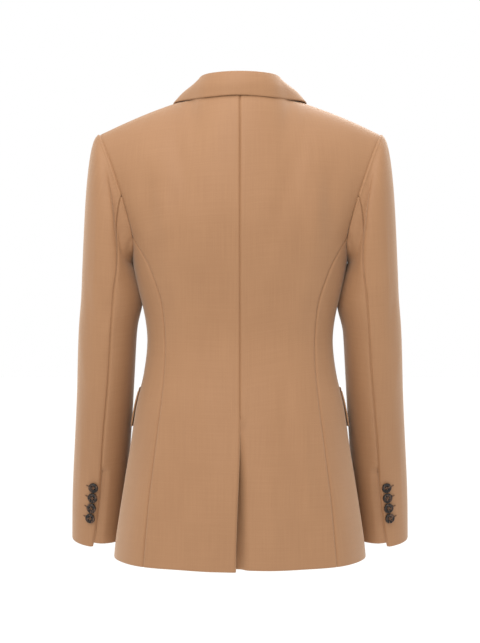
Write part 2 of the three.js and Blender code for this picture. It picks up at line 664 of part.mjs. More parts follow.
/** A round button with a raised rim, its back on the plane y = 0 and its face towards +Y. */
function buttonGeometry({ radius, height }) {
  const profile = [
    [0, 0],
    [radius * 0.8, 0],
    [radius, height * 0.4],
    [radius * 0.97, height * 0.85],
    [radius * 0.86, height],
    [radius * 0.66, height * 0.7],
    [0, height * 0.62],
  ];
  const points = profile.map(([x, y]) => new THREE.Vector2(x, y));
  return new THREE.LatheGeometry(points, 16);
}

// ---- Pockets ----------------------------------------------------------------------------------------------

/** The pocket flap's face, left side: u from its back to its front end, v from its bottom up. */
function flapSurface(u, v) {
  const angle = lerp(FLAP.back, FLAP.front, u);
  const fromEnd = Math.min(u, 1 - u) / FLAP_CORNER_SHARE;
  const cut = 1 - Math.sqrt(1 - (1 - clamp(fromEnd, 0, 1)) ** 2);
  const bottom = FLAP.top - FLAP.height + FLAP.corner * cut;
  const z = lerp(bottom, FLAP.top, v);
  return ring(angle, z, lerp(FLAP_GAP.bottom, FLAP_GAP.top, v) + FLAP_CLOTH);
}

/** The jet above the flap. */
function jetSurface(u, v) {
  const angle = lerp(FLAP.back, FLAP.front, u);
  return ring(angle, FLAP.top + 2 * SEAM_GAP + JET.height * v, JET.gap + JET.cloth);
}

// ---- Mesh rows and columns ----------------------------------------------------------------------------------
// Levels of the rows between hem and yoke at the centre back, closer at the hem and the vent's top.
const LEVELS = [
  ...[-664, -653, -640],
  ...steps(-616, -496, 5),
  ...[-478, -464, -452, -443, -430],
  ...steps(-408, -232, 8),
  ...[-212, -197],
];
const RISE = LEVELS.map((z) => (z - LEVELS[0]) / (BACK_YOKE_Z - LEVELS[0]));
const BACK_RISE = [0, 0.17, 0.33, 0.5, 0.6, 0.7, 0.8, 0.9, 1];
const FRONT_RISE = [0, 0.125, 0.25, 0.4, 0.55, 0.7, 0.85, 1];
const BACK_ACROSS = [0, 0.06, 0.13, 0.21, 0.3, 0.39, NECK_SHARE, 0.61, 0.74, 0.87, 1];
const FRONT_ACROSS = [0, 0.14, 0.28, 0.42, 0.56, 0.7, 0.82, 0.92, 1];
const SIDE_ACROSS = steps(0, 1, 5);
const SLEEVE_LEVELS = [CUFF_Z, -618, -596, -572, -552, -540, -528, -518, ...steps(-490, BICEP_Z, 9)];
const SLEEVE_RISE = SLEEVE_LEVELS.map((z) => (z - CUFF_Z) / (BICEP_Z - CUFF_Z)).concat(1.2, 1.4, 1.6, 1.75, 1.88, 2);
const GORGE_STEPS = steps(0, 1, 4); // shared by the lapel's top edge and the collar's end
const LAPEL_ACROSS = [
  ...steps(0, ROLL_SHARE, 4).slice(0, -1),
  ...[...GORGE_STEPS.map((t) => t * NOTCH), 0.78, 1].map((across) => lerp(ROLL_SHARE, 1, across)),
];
const LAPEL_RISE = steps(0, 1, 14);
const COLLAR_ALONG = steps(-1, 1, 28);
const COLLAR_ACROSS = [
  ...[0, 1, 2, 2.5, 3, 3.5].map((k) => k / 6),
  ...GORGE_STEPS.map((t) => lerp(COLLAR_ROLL, COLLAR_NOTCH, t)),
  ...[0.92, 1],
];
const FLAP_ACROSS = [0, 0.03, 0.08, 0.2, 0.32, 0.44, 0.56, 0.68, 0.8, 0.92, 0.97, 1];

// Places round the armhole of the columns of the top sleeve (from its front seam over the
// shoulder to the back seam) and of the under sleeve. They meet the body's rows and columns.
const BACK_PLACES = BACK_RISE.map((t) => BACK_SHARE * (1 - t)).reverse();
const SIDE_PLACES = SIDE_ACROSS.map((c) => lerp(BACK_SHARE, 1 - BACK_SHARE, c));
const FRONT_PLACES = FRONT_RISE.map((t) => lerp(1 - BACK_SHARE, 1, t));
const TOP_PLACES = [
  ...FRONT_PLACES.filter((place) => place >= FRONT_SEAM_AT).map((place) => place - 1),
  ...BACK_PLACES.filter((place) => place > 0 && place <= ELBOW_AT),
];
const UNDER_PLACES = [
  ...BACK_PLACES.filter((place) => place >= ELBOW_AT),
  ...SIDE_PLACES.slice(1, -1),
  ...FRONT_PLACES.filter((place) => place <= FRONT_SEAM_AT),
];

// ---- The pieces -----------------------------------------------------------------------------------------
const WOOL = { color: 0xb98c66, roughness: 0.85, metalness: 0 };
const HORN = { color: 0x2e2420, roughness: 0.35, metalness: 0 };
const BODY_SEAMS = "u0 u1 v1";

const blazer = new THREE.Group();

/** Adds a named mesh of the given finish, and gives it back to be placed. */
function addPiece(name, geometry, finish) {
  const mesh = new THREE.Mesh(geometry, new THREE.MeshStandardMaterial(finish));
  mesh.name = name;
  blazer.add(mesh);
  return mesh;
}

/** The left edge of the back opens a little below the vent's top; the right one runs on under it. */
const leftEdge = (z) => VENT_OPENING * smoothstep(VENT_TOP_Z - z, 0, VENT_TOP_Z - LEVELS[0]);
const rightEdge = (z) => -VENT_LAP * smoothstep(VENT_TOP_Z - z, 0, 24);
const rightSink = (x, z) => VENT_SINK * smoothstep(-x, -20, -8) * smoothstep(VENT_TOP_Z - z, -8, -1);

const mirrored = (vector, side) => vector.multiply(new THREE.Vector3(side, 1, 1));

const SIDES = [
  { name: "left", side: 1, back: backSurface(leftEdge, () => 0) },
  { name: "right", side: -1, back: backSurface(rightEdge, rightSink) },
];

for (const { name, side, back } of SIDES) {
  const front = frontSurface(side);
  const ridge = (share) => mirrored(ridgeNormal(share), side);
  const addCloth = (part, surface, us, vs, options) => {
    const shape = { surface: onSide(surface, side), us, vs, thickness: CLOTH, facing: -side, ...options };
    addPiece(`${part}_${name}`, wall(shape), WOOL);
  };
  addCloth("back", back, BACK_ACROSS, [...RISE.slice(0, -1), ...BACK_RISE.map((t) => 1 + t)], {
    seams: BODY_SEAMS,
    shared: (u, v) => (v < 2 || u < NECK_SHARE ? null : ridge((u - NECK_SHARE) / (1 - NECK_SHARE))),
  });
  addCloth("side", sideSurface, SIDE_ACROSS, RISE, { seams: BODY_SEAMS });
  addCloth("front", front, FRONT_ACROSS, [...RISE.slice(0, -1), ...FRONT_RISE.map((t) => 1 + t)], {
    seams: BODY_SEAMS,
    shared: (u, v) => (v < 2 ? null : ridge(1 - u)),
  });
  addCloth("lapel", lapelSurface(front), LAPEL_ACROSS, LAPEL_RISE, {
    thickness: LAPEL_CLOTH,
    facing: side,
    seams: "u0 v1",
    shared: (r, q) => (q < 1 ? null : mirrored(gorgeNormal(front, r / ROLL_SHARE, share(r, ROLL_SHARE, 1)), side)),
  });
  const sleeveLine = sleeveSurface(back, front);
  const sleeveOptions = { facing: side, seams: BODY_SEAMS };
  addCloth("top_sleeve", sleeveLine, TOP_PLACES, SLEEVE_RISE, sleeveOptions);
  addCloth("under_sleeve", underSleeveSurface(sleeveLine), UNDER_PLACES, SLEEVE_RISE, sleeveOptions);
  addCloth("pocket_flap", flapSurface, FLAP_ACROSS, [0, 0.35, 0.7, 1], { thickness: FLAP_CLOTH });
  addCloth("pocket_jet", jetSurface, FLAP_ACROSS, [0, 1], { thickness: JET.cloth });
  CUFF_BUTTON_Z.forEach((z, i) => {
    const at = [elbowAngle(z) - CUFF_BUTTON_INSET, z];
    placeButton(`cuff_button_${name}_${i + 1}`, CUFF_BUTTON, onSide(sleevePoint, side), at, side);
  });
}

const collarPlace = column(COLLAR, "at", "neck");

/** The wall directions that the collar shares with the neck edge at its foot and with the lapels. */
function collarShared(u, r) {
  const front = frontSurface(1);
  const side = Math.sign(u) || 1;
  if (Math.abs(u) === 1) {
    const across = share(r, COLLAR_ROLL, COLLAR_NOTCH) * NOTCH;
    return mirrored(gorgeNormal(front, r / COLLAR_ROLL, across), side);
  }
  if (r > 0) return null;
  return mirrored(neckEdge(SIDES[0].back, front, collarPlace(Math.abs(u))).normal.negate(), side);
}

addPiece(
  "collar",
  wall({
    surface: collarSurface(SIDES[0].back, frontSurface(1)),
    us: COLLAR_ALONG,
    vs: COLLAR_ACROSS,
    thickness: COLLAR_CLOTH,
    facing: 1,
    seams: "u0 u1",
    shared: collarShared,
  }),
  WOOL,
);
placeButton("front_button", FRONT_BUTTON, (angle, z) => ring(angle, z, lapLift(0, z, -1)), [180, BUTTON_Z], -1);

/** Adds a button that lies on surface(...at), facing out of it. */
function placeButton(name, size, surface, at, facing) {
  const normal = normalAt(surface, ...at, facing);
  const button = addPiece(name, buttonGeometry(size), HORN);
  button.position.copy(surface(...at).addScaledVector(normal, BUTTON_GAP));
  button.quaternion.setFromUnitVectors(new THREE.Vector3(0, 1, 0), normal);
}

export default blazer;
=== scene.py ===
"""Looks of a single-breasted blazer of wool suiting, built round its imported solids.

Sizes are millimetres and degrees, and meshes are written in metres. +Z is up, the front faces -Y
and the wearer's left is +X. Every cloth piece is a function of two parameters on a grid: it follows
rings, yoke lines and sleeve lines, as its solid does, with pressed seams, soft folds and rounded
edges added along its normals. The left side is described, and the right side is its mirror image
apart from the lap of the fronts and of the back vent.
"""
import logging
import math
from dataclasses import dataclass, field
from enum import Enum
from typing import Callable, Optional, Union

import bpy
import numpy as np
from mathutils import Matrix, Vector


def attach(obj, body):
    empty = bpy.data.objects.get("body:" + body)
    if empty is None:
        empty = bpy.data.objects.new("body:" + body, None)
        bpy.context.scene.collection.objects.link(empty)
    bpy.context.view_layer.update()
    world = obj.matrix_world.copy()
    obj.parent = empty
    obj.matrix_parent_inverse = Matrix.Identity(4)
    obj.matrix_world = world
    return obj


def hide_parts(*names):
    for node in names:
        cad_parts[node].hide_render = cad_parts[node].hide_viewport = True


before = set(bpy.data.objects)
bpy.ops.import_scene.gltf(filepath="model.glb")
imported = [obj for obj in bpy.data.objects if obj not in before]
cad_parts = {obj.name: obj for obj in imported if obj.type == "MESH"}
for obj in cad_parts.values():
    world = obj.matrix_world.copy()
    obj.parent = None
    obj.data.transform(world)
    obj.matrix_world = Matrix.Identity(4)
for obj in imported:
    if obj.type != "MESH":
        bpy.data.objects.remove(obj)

LOG = logging.getLogger("blazer")
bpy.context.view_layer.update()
MM = 0.001
NUDGE = 1e-3  # step in a parameter when a direction is measured
DEGREE_STEP = 0.5  # step round a ring when its direction is measured
TINY = 1e-12  # a length that counts as none
EDGE_STEPS = (0.35, 0.9, 1.7, 2.8)  # distances of the first stations from a sewn edge
EDGE_REACH = 4.4  # where the even stations begin
ALLOWANCE = ((4.6, 2.4), (9.2, 0.9))  # swell and fine edge of the allowance: distance, width
ROUGHNESS_MIDDLE = 0.08  # about what noise adds to a roughness, taken off it first
THREAD_SIDE = (0.3, 0.2, 1.0)  # a direction that no thread runs in
THREAD_TAPER = (0.98, 8, 0.05)  # a thread's ends: share of the length, power, least section

Array = np.ndarray
Surface = Callable[[Array, Array], Array]
Relief = Callable[[Array, Array, Array], Array]
Object = bpy.types.Object
Number = Union[float, Array]


# ---- Small helpers --------------------------------------------------------------------------------


def smoothstep(value: Number, low: float, high: float) -> Array:
    """An even S from 0 at low to 1 at high: t * t * (3 - 2t)."""
    t = np.clip((np.asarray(value, float) - low) / (high - low), 0, 1)
    return t * t * (3 - 2 * t)


def fade(value: Number, near: float, far: float) -> Array:
    """An even S from 1 at near to 0 at far."""
    return smoothstep(-np.asarray(value, float), -far, -near)


def lerp(a: Number, b: Number, t: Number) -> Array:
    """The value a share t of the way from a to b."""
    return a + (b - a) * t


def unit(vectors: Array) -> Array:
    """The vectors at length 1."""
    return vectors / np.maximum(np.linalg.norm(vectors, axis=-1, keepdims=True), TINY)


def points(x: Number, y: Number, z: Number) -> Array:
    """Points from their three coordinates."""
    return np.stack(np.broadcast_arrays(x, y, z), axis=-1).astype(float)


def bell(distance: Array, width: float) -> Array:
    """A soft hump of height 1: exp(-(distance / width) squared)."""
    return np.exp(-((distance / width) ** 2))


def together(*values: Number) -> tuple[Array, ...]:
    """The values as arrays of one shape."""
    return np.broadcast_arrays(*(np.asarray(value, float) for value in values))


def arc(t: Array) -> Array:
    """A half wave, 0 at 0 and at 1: sin(pi * t), with t held between them."""
    return np.sin(np.pi * np.clip(t, 0, 1))


def arch(t: Array, low: float, rise: float, drop: float, power: int) -> Array:
    """The height of a thread from -1 to 1: low + rise * sqrt(1 - drop * t to the power)."""
    return low + rise * np.sqrt(1 - drop * t**power)


def waves(a: Array, b: Array, table: tuple, phase: float = 0) -> Array:
    """Slow unevenness: one sine a row of the table, of two lengths and a share of the phase."""
    return sum(np.sin(a / across + b / up + share * phase) for across, up, share in table)


def bezier(a: Array, b: Array, c: Array, d: Array, t: Array) -> Array:
    """Points on the cubics through a and d with handles b and c."""
    t = np.asarray(t, float)[..., None]
    s = 1 - t
    return s**3 * a + 3 * s * s * t * b + 3 * s * t * t * c + t**3 * d


def normals_of(surface: Surface, u: Array, v: Array, facing: float) -> Array:
    """Unit normals of surface(u, v): its two derivatives crossed, on the side of `facing`."""
    along = surface(u + NUDGE, v) - surface(u - NUDGE, v)
    up = surface(u, v + NUDGE) - surface(u, v - NUDGE)
    return unit(np.cross(along, up)) * facing


class Rows:
    """A table of sizes whose columns are smooth curves through its rows.

    Between two rows a column is the cubic with the rows' values and the slopes of the lines
    between their neighbours.
    """

    def __init__(self, names: str, *rows: tuple) -> None:
        """Keeps the rows.

        Args:
            names: the columns' names, the first of which is the place that the rows rise in.
            rows: one tuple of numbers a row.
        """
        self.names = names.split()
        self.table = np.array(rows, float)

    def __call__(self, name: str, at: Number) -> Array:
        """The value of one column at a place.

        Args:
            name: the column.
            at: places, held inside the table's range.

        Returns:
            The values, shaped as the places are.
        """
        place = self.table[:, 0]
        value = self.table[:, self.names.index(name)]
        last = len(place) - 1
        low = np.maximum(np.arange(last + 1) - 1, 0)
        high = np.minimum(np.arange(last + 1) + 1, last)
        slope = (value[high] - value[low]) / (place[high] - place[low])
        at = np.asarray(at, float)
        i = np.clip(np.searchsorted(place, at, side="left") - 1, 0, last - 1)
        span = place[i + 1] - place[i]
        t = np.clip((at - place[i]) / span, 0, 1)
        rise = t * t * (3 - 2 * t)
        leave = t * (1 - t) * (1 - t) * span * slope[i]
        arrive = t * t * (t - 1) * span * slope[i + 1]
        return lerp(value[i], value[i + 1], rise) + leave + arrive

    def all(self, at: Number) -> dict[str, Array]:
        """Every column but the first at a place."""
        return {name: self(name, at) for name in self.names[1:]}


def stations(length: float, pitch: float, low: bool = True, high: bool = True) -> Array:
    """Shares along an edge of about `length`, `pitch` apart and closer where it ends in a seam.

    Args:
        length: the edge's length.
        pitch: the distance between stations away from the ends.
        low: whether the low end has the closer stations.
        high: the same for the high end.

    Returns:
        Rising shares from 0 to 1.
    """
    close = np.array(EDGE_STEPS)
    start, end = low * EDGE_REACH, length - high * EDGE_REACH
    inner = np.linspace(start, end, max(int(length / pitch), 3))
    parts = [close if low else [], inner, length - close if high else [], [0, length]]
    return np.unique(np.concatenate(parts)) / length


# ---- Body -----------------------------------------------------------------------------------------


class Side(Enum):
    """The wearer's sides."""

    LEFT = 1
    RIGHT = -1

    @property
    def word(self) -> str:
        """The side's name in piece names."""
        return self.name.lower()


def two_stages(lengths: tuple, pitch: float) -> Array:
    """Stations from 0 to 1 along a lower length and from 1 to 2 along an upper one."""
    lower, upper = lengths
    below = stations(lower, pitch, high=False)[:-1]
    return np.concatenate([below, 1 + stations(upper, pitch, low=False)])


@dataclass(frozen=True)
class Dip:
    """How far a back lies in at the vent: whole up to x near, none past far, deepening downwards."""

    depth: float  # below 0 where it stands off
    near: float
    far: float
    start: float  # below the vent's top
    end: float

    def at(self, x: Array, below: Array) -> Array:
        """The depth at x, at a distance below the vent's top."""
        return self.depth * fade(x, self.near, self.far) * smoothstep(below, self.start, self.end)


@dataclass
class BodyForm:
    """The body of the garment: rings from hem to chest, and yokes from there to neck and shoulders."""

    cloth: float = 1.8
    hem_z: float = -664  # at the centre back
    back_yoke_z: float = -197
    front_yoke_z: float = -212
    break_z: float = -325
    button_z: float = -346
    vent_top_z: float = -452
    vent_lap: float = 36
    vent_lap_run: float = 24  # the height over which the underlap gets its width
    vent_opening: float = 6
    vent_lift: tuple = (-0.4, 2.4)  # how much higher the left and the right hem end at the vent
    lift_reach: tuple = (0.75, 0.3)  # and how far that reaches, in shares of the back across and up
    left_dips: tuple = (Dip(-1.6, 8, 34, 10, 120),)
    right_dips: tuple = (Dip(2.5, 0.5, 7, -2, 4), Dip(11, -2, 13, 2, 130))
    front_lap: float = 18
    lap_out: float = 3.3
    lap_in: float = 1.5
    lap_reach: tuple = (20, 58)  # the lap's lift fades between these distances from the centre
    lap_top: tuple = (-245, -190)  # and between these heights
    roll_top: tuple = (52, -22)  # x and z of the roll line's upper end
    front_hem: float = -671
    hem_corner: float = 50
    cutaway: float = 22
    cutaway_run: tuple = (10, 330)  # below the button
    armpit_drop: float = 27
    armpit_lean: float = 0.35  # how much less it drops towards the back
    evening: float = 0.13  # reach of the evening under the neck's corner, in shares of the back
    evening_rise: tuple = (1.1, 1.5)  # v on the yoke where it begins and is whole
    evening_end: tuple = (1.93, 2)  # and where it leaves off
    drape_run: float = 200  # the height over which a drape deepens
    shoulder: tuple = (204.4, -8, -46.6)
    neck: tuple = (74, -2, 6)
    shoulder_slope: float = 0.305
    neck_back: tuple = (64, 10)  # depth and height at the centre back
    neck_share: float = 0.48
    powers: tuple = (2.35, 2.2)  # how square the rings are at the back and at the front
    rings: Rows = Rows(
        "z half_width back front",
        (-700, 185.5, 134, 130), (-636, 180.3, 131, 128), (-584, 172.9, 128, 125),
        (-535, 165.2, 123, 121), (-493, 158.2, 117, 117), (-439, 150.4, 107, 112),
        (-392, 139.6, 97, 108), (-345, 134.7, 92, 107), (-303, 139.4, 96, 114),
        (-262, 148.3, 103, 124), (-225, 156, 109, 126), (-190, 163, 112, 122),
    )
    # Soft vertical drapes of the skirt: angle round the body, height where each starts, depth, width.
    drapes: tuple = (
        (17, -400, 2.6, 9), (37, -420, -2.2, 8), (57, -380, 2.4, 9), (118, -470, 2.4, 12),
        (146, -500, -1.8, 12),
    )
    hem: Rows = Rows("angle z", (-20, -664), (0, -664), (45, -662), (90, -658), (135, -664), (180, -671))
    back_seam: Rows = Rows(
        "z x",
        (-690, 137), (-607, 130.6), (-567, 127), (-514, 120.9), (-454, 114), (-410, 109.6),
        (-379, 107.4), (-347, 106.7), (-314, 108.5), (-289, 112), (-261, 121), (-233, 132.5),
        (-197, 153.5),
    )
    side_seam: Rows = Rows("z angle", (-690, 112), (-345, 113), (-212, 104))
    back_yoke: Rows = Rows(
        "u lift along flare x y z",
        (0, 66, 0, 0, 0, 33, -52), (0.13, 66, 0, 0, -4, 37, -50), (0.26, 67, 0, 0, -5, 44, -42),
        (0.39, 67, 0, 0, -1, 57, -33), (0.48, 67, 0, 0, 7, 71, -24), (0.61, 65, 0, 0, -3, 66, -10),
        (0.8, 54, -4, 2, -4, 58, -3), (1, 37, -16, 5, -4, 50, -2),
    )
    front_yoke: Rows = Rows(
        "u lift along flare x y z",
        (0, 45, 32, 6, -4, -46, -2), (0.4, 62, 6, 1, -4, -54, -2), (0.8, 70, -10, 0, -6, -54, -6),
        (1, 73, -16, 0, -15, -60, -23),
    )

    def drape(self, angle: Array, z: Array) -> Array:
        """How far the drapes push the skirt out: bells round the body that deepen downwards."""
        push = np.zeros(np.broadcast(angle, z).shape)
        for centre, top, depth, width in self.drapes:
            push = push + depth * bell(angle - centre, width) * smoothstep(top - z, 0, self.drape_run)
        return push

    def ring(self, angle: Array, z: Array, out: Number = 0) -> Array:
        """Points of the rings, which are superellipses in polar form.

        Args:
            angle: degrees round from the centre back.
            z: height.
            out: distance moved outwards.

        Returns:
            The points.
        """
        angle, z = together(angle, z)
        sine, cosine = np.sin(np.radians(angle)), np.cos(np.radians(angle))
        depth = np.where(cosine > 0, self.rings("back", z), self.rings("front", z))
        power = np.where(cosine > 0, *self.powers)
        total = np.abs(sine / self.rings("half_width", z)) ** power + np.abs(cosine / depth) ** power
        radius = total ** (-1 / power) + self.drape(angle, z) + out
        return points(radius * sine, radius * cosine, z)

    def angle_at_x(self, x: Array, z: Array, sign: int) -> Array:
        """The angle at which the ring at height z passes x, on the back (1) or the front (-1)."""
        power = self.powers[0 if sign > 0 else 1]
        depth = self.rings("back" if sign > 0 else "front", z)
        y = depth * (1 - np.abs(x / self.rings("half_width", z)) ** power) ** (1 / power)
        angle = np.degrees(np.arctan2(x, sign * y))
        return np.where((x < 0) & (sign < 0), angle + 360, angle)

    def back_seam_angle(self, z: Number) -> Array:
        """The angle of the side-back seam at height z."""
        return self.angle_at_x(self.back_seam("x", z), np.asarray(z, float), 1)

    def yoke_line(self, angle: Array, z: float, out: Array, row: dict, top: Array, t: Array) -> Array:
        """Points on the cubics that the yoke's lines follow from the last ring to the top edge.

        Args:
            angle: where each line leaves the ring.
            z: the ring's height.
            out: distance of the ring moved outwards.
            row: the yoke table's columns at each line.
            top: where each line ends.
            t: share of the way up.

        Returns:
            The points.
        """
        start = self.ring(angle, z, out)
        up = self.ring(angle, z + 1, out) - start
        along = unit(self.ring(angle + DEGREE_STEP, z, out) - start)
        outward = points(-along[..., 1], along[..., 0], 0)
        leave = start + up * row["lift"][..., None] + along * row["along"][..., None]
        leave = leave + outward * row["flare"][..., None]
        return bezier(start, leave, top + points(row["x"], row["y"], row["z"]), top, t)

    def shoulder_seam(self, share: Array) -> Array:
        """The shoulder seam from the neck (0) to its end (1): it steepens evenly."""
        run = self.shoulder[0] - self.neck[0]
        steepening = self.neck[2] - self.shoulder[2] - self.shoulder_slope * run
        drop = self.shoulder_slope * run * share + steepening * share * share
        y = lerp(self.neck[1], self.shoulder[1], share)
        return points(self.neck[0] + run * share, y, self.neck[2] - drop)

    def back_neck(self, share: Array) -> Array:
        """The back neck edge from the centre back (0) to the shoulder seam (1): a quarter ellipse."""
        angle = share * math.pi / 2
        y = self.neck[1] + (self.neck_back[0] - self.neck[1]) * np.cos(angle)
        return points(self.neck[0] * np.sin(angle), y, lerp(self.neck_back[1], self.neck[2], share))

    def vent_edge(self, z: Array, side: Side) -> Array:
        """x of the back's centre edge: the left one opens below the vent's top, the right one laps."""
        below = self.vent_top_z - z
        if side is Side.LEFT:
            return self.vent_opening * smoothstep(below, 0, self.vent_top_z - self.hem_z)
        return -self.vent_lap * smoothstep(below, 0, self.vent_lap_run)

    def vent_depth(self, x: Array, z: Array, side: Side) -> Array:
        """How far in the backs lie at the vent: the right one dips under the edge of the left one."""
        dips = self.left_dips if side is Side.LEFT else self.right_dips
        return sum(dip.at(x, self.vent_top_z - z) for dip in dips)

    def hem_lift(self, u: Array, v: Array, side: Side) -> Array:
        """How much higher a back's hem ends at the vent: the left one hangs, the right one is held up."""
        left, right = self.vent_lift
        across, up = self.lift_reach
        return (left if side is Side.LEFT else right) * fade(u, 0, across) * fade(v, 0, up)

    def back(self, u: Array, v: Array, side: Side) -> Array:
        """The back, evened out under the neck's corner, where its lines fan apart.

        There each point moves towards the mean of four points beside it.
        """
        u, v = together(u, v)
        steps = self.evening * np.array([-1, -0.5, 0.5, 1])
        mean = sum(self.back_lines(np.clip(u + step, 0, 1), v, side) for step in steps) / len(steps)
        near = bell(u - self.neck_share, self.evening) * smoothstep(v, *self.evening_rise)
        near = near * fade(v, *self.evening_end)
        return lerp(self.back_lines(u, v, side), mean, near[..., None])

    def back_lines(self, u: Array, v: Array, side: Side) -> Array:
        """The back's lines: u centre (0) to side-back seam (1), v hem 0, ring 1, shoulder 2."""
        u, v = together(u, v)
        at_neck, beyond = u < self.neck_share, (u - self.neck_share) / (1 - self.neck_share)
        share = np.where(at_neck, u / self.neck_share, beyond)
        top = np.where(at_neck[..., None], self.back_neck(share), self.shoulder_seam(share))
        angle = u * self.back_seam_angle(self.back_yoke_z)
        upper = self.yoke_line(angle, self.back_yoke_z, 0, self.back_yoke.all(u), top, v - 1)
        z = lerp(self.hem("z", u * self.back_seam_angle(self.hem_z)), self.back_yoke_z, np.minimum(v, 1))
        z = z + self.hem_lift(u, v, side)
        angle = lerp(self.angle_at_x(self.vent_edge(z, side), z, 1), self.back_seam_angle(z), u)
        lower = self.ring(angle, z, -self.vent_depth(self.ring(angle, z)[..., 0], z, side))
        return np.where((v > 1)[..., None], upper, lower)

    def side_panel(self, u: Array, v: Array) -> Array:
        """The side panel: u from the side-back seam to the side-front seam, v hem to armhole."""
        hem = self.hem("z", lerp(self.back_seam_angle(self.hem_z), self.side_seam("angle", self.hem_z), u))
        drop = self.armpit_drop * 4 * u * (1 - u) * (1 - self.armpit_lean * (1 - u))
        z = lerp(hem, lerp(self.back_yoke_z, self.front_yoke_z, u) - drop, v)
        return self.ring(lerp(self.back_seam_angle(z), self.side_seam("angle", z), u), z)

    def front_edge_x(self, z: Array) -> Array:
        """x of the front edge, and above the break of the roll line, at height z."""
        slope = (self.roll_top[0] + self.front_lap) / (self.roll_top[1] - self.break_z)
        below = np.clip((self.front_hem + self.hem_corner - z) / self.hem_corner, 0, 1)
        corner = self.hem_corner * (1 - np.sqrt(1 - below * below))
        swing = self.cutaway * smoothstep(self.button_z - z, *self.cutaway_run)
        return -self.front_lap + np.maximum(z - self.break_z, 0) * slope + swing + corner

    def lap_lift(self, x: Array, z: Array, side: Side) -> Array:
        """How far the fronts stand apart where they lap: the right one out, the left one in."""
        near = fade(x, *self.lap_reach) * fade(z, *self.lap_top)
        return near * (self.lap_out if side is Side.RIGHT else -self.lap_in)

    def front(self, u: Array, v: Array, side: Side) -> Array:
        """A front: u from the side-front seam (0) to the edge or roll (1), v hem 0, ring 1, shoulder 2."""
        u, v = together(u, v)
        yoke_z = self.front_yoke_z
        edge = self.angle_at_x(self.front_edge_x(np.float64(yoke_z)), yoke_z, -1)
        angle = lerp(self.side_seam("angle", yoke_z), edge, u)
        out = self.lap_lift(self.ring(angle, yoke_z)[..., 0], yoke_z, side) * (2 - v)
        upper = self.yoke_line(angle, yoke_z, out, self.front_yoke.all(u), self.shoulder_seam(1 - u), v - 1)
        z = lerp(self.hem("z", lerp(self.side_seam("angle", self.hem_z), 180, u)), yoke_z, np.minimum(v, 1))
        angle = lerp(self.side_seam("angle", z), self.angle_at_x(self.front_edge_x(z), z, -1), u)
        lower = self.ring(angle, z, self.lap_lift(self.ring(angle, z)[..., 0], z, side))
        return np.where((v > 1)[..., None], upper, lower)


# ---- Sleeve ---------------------------------------------------------------------------------------


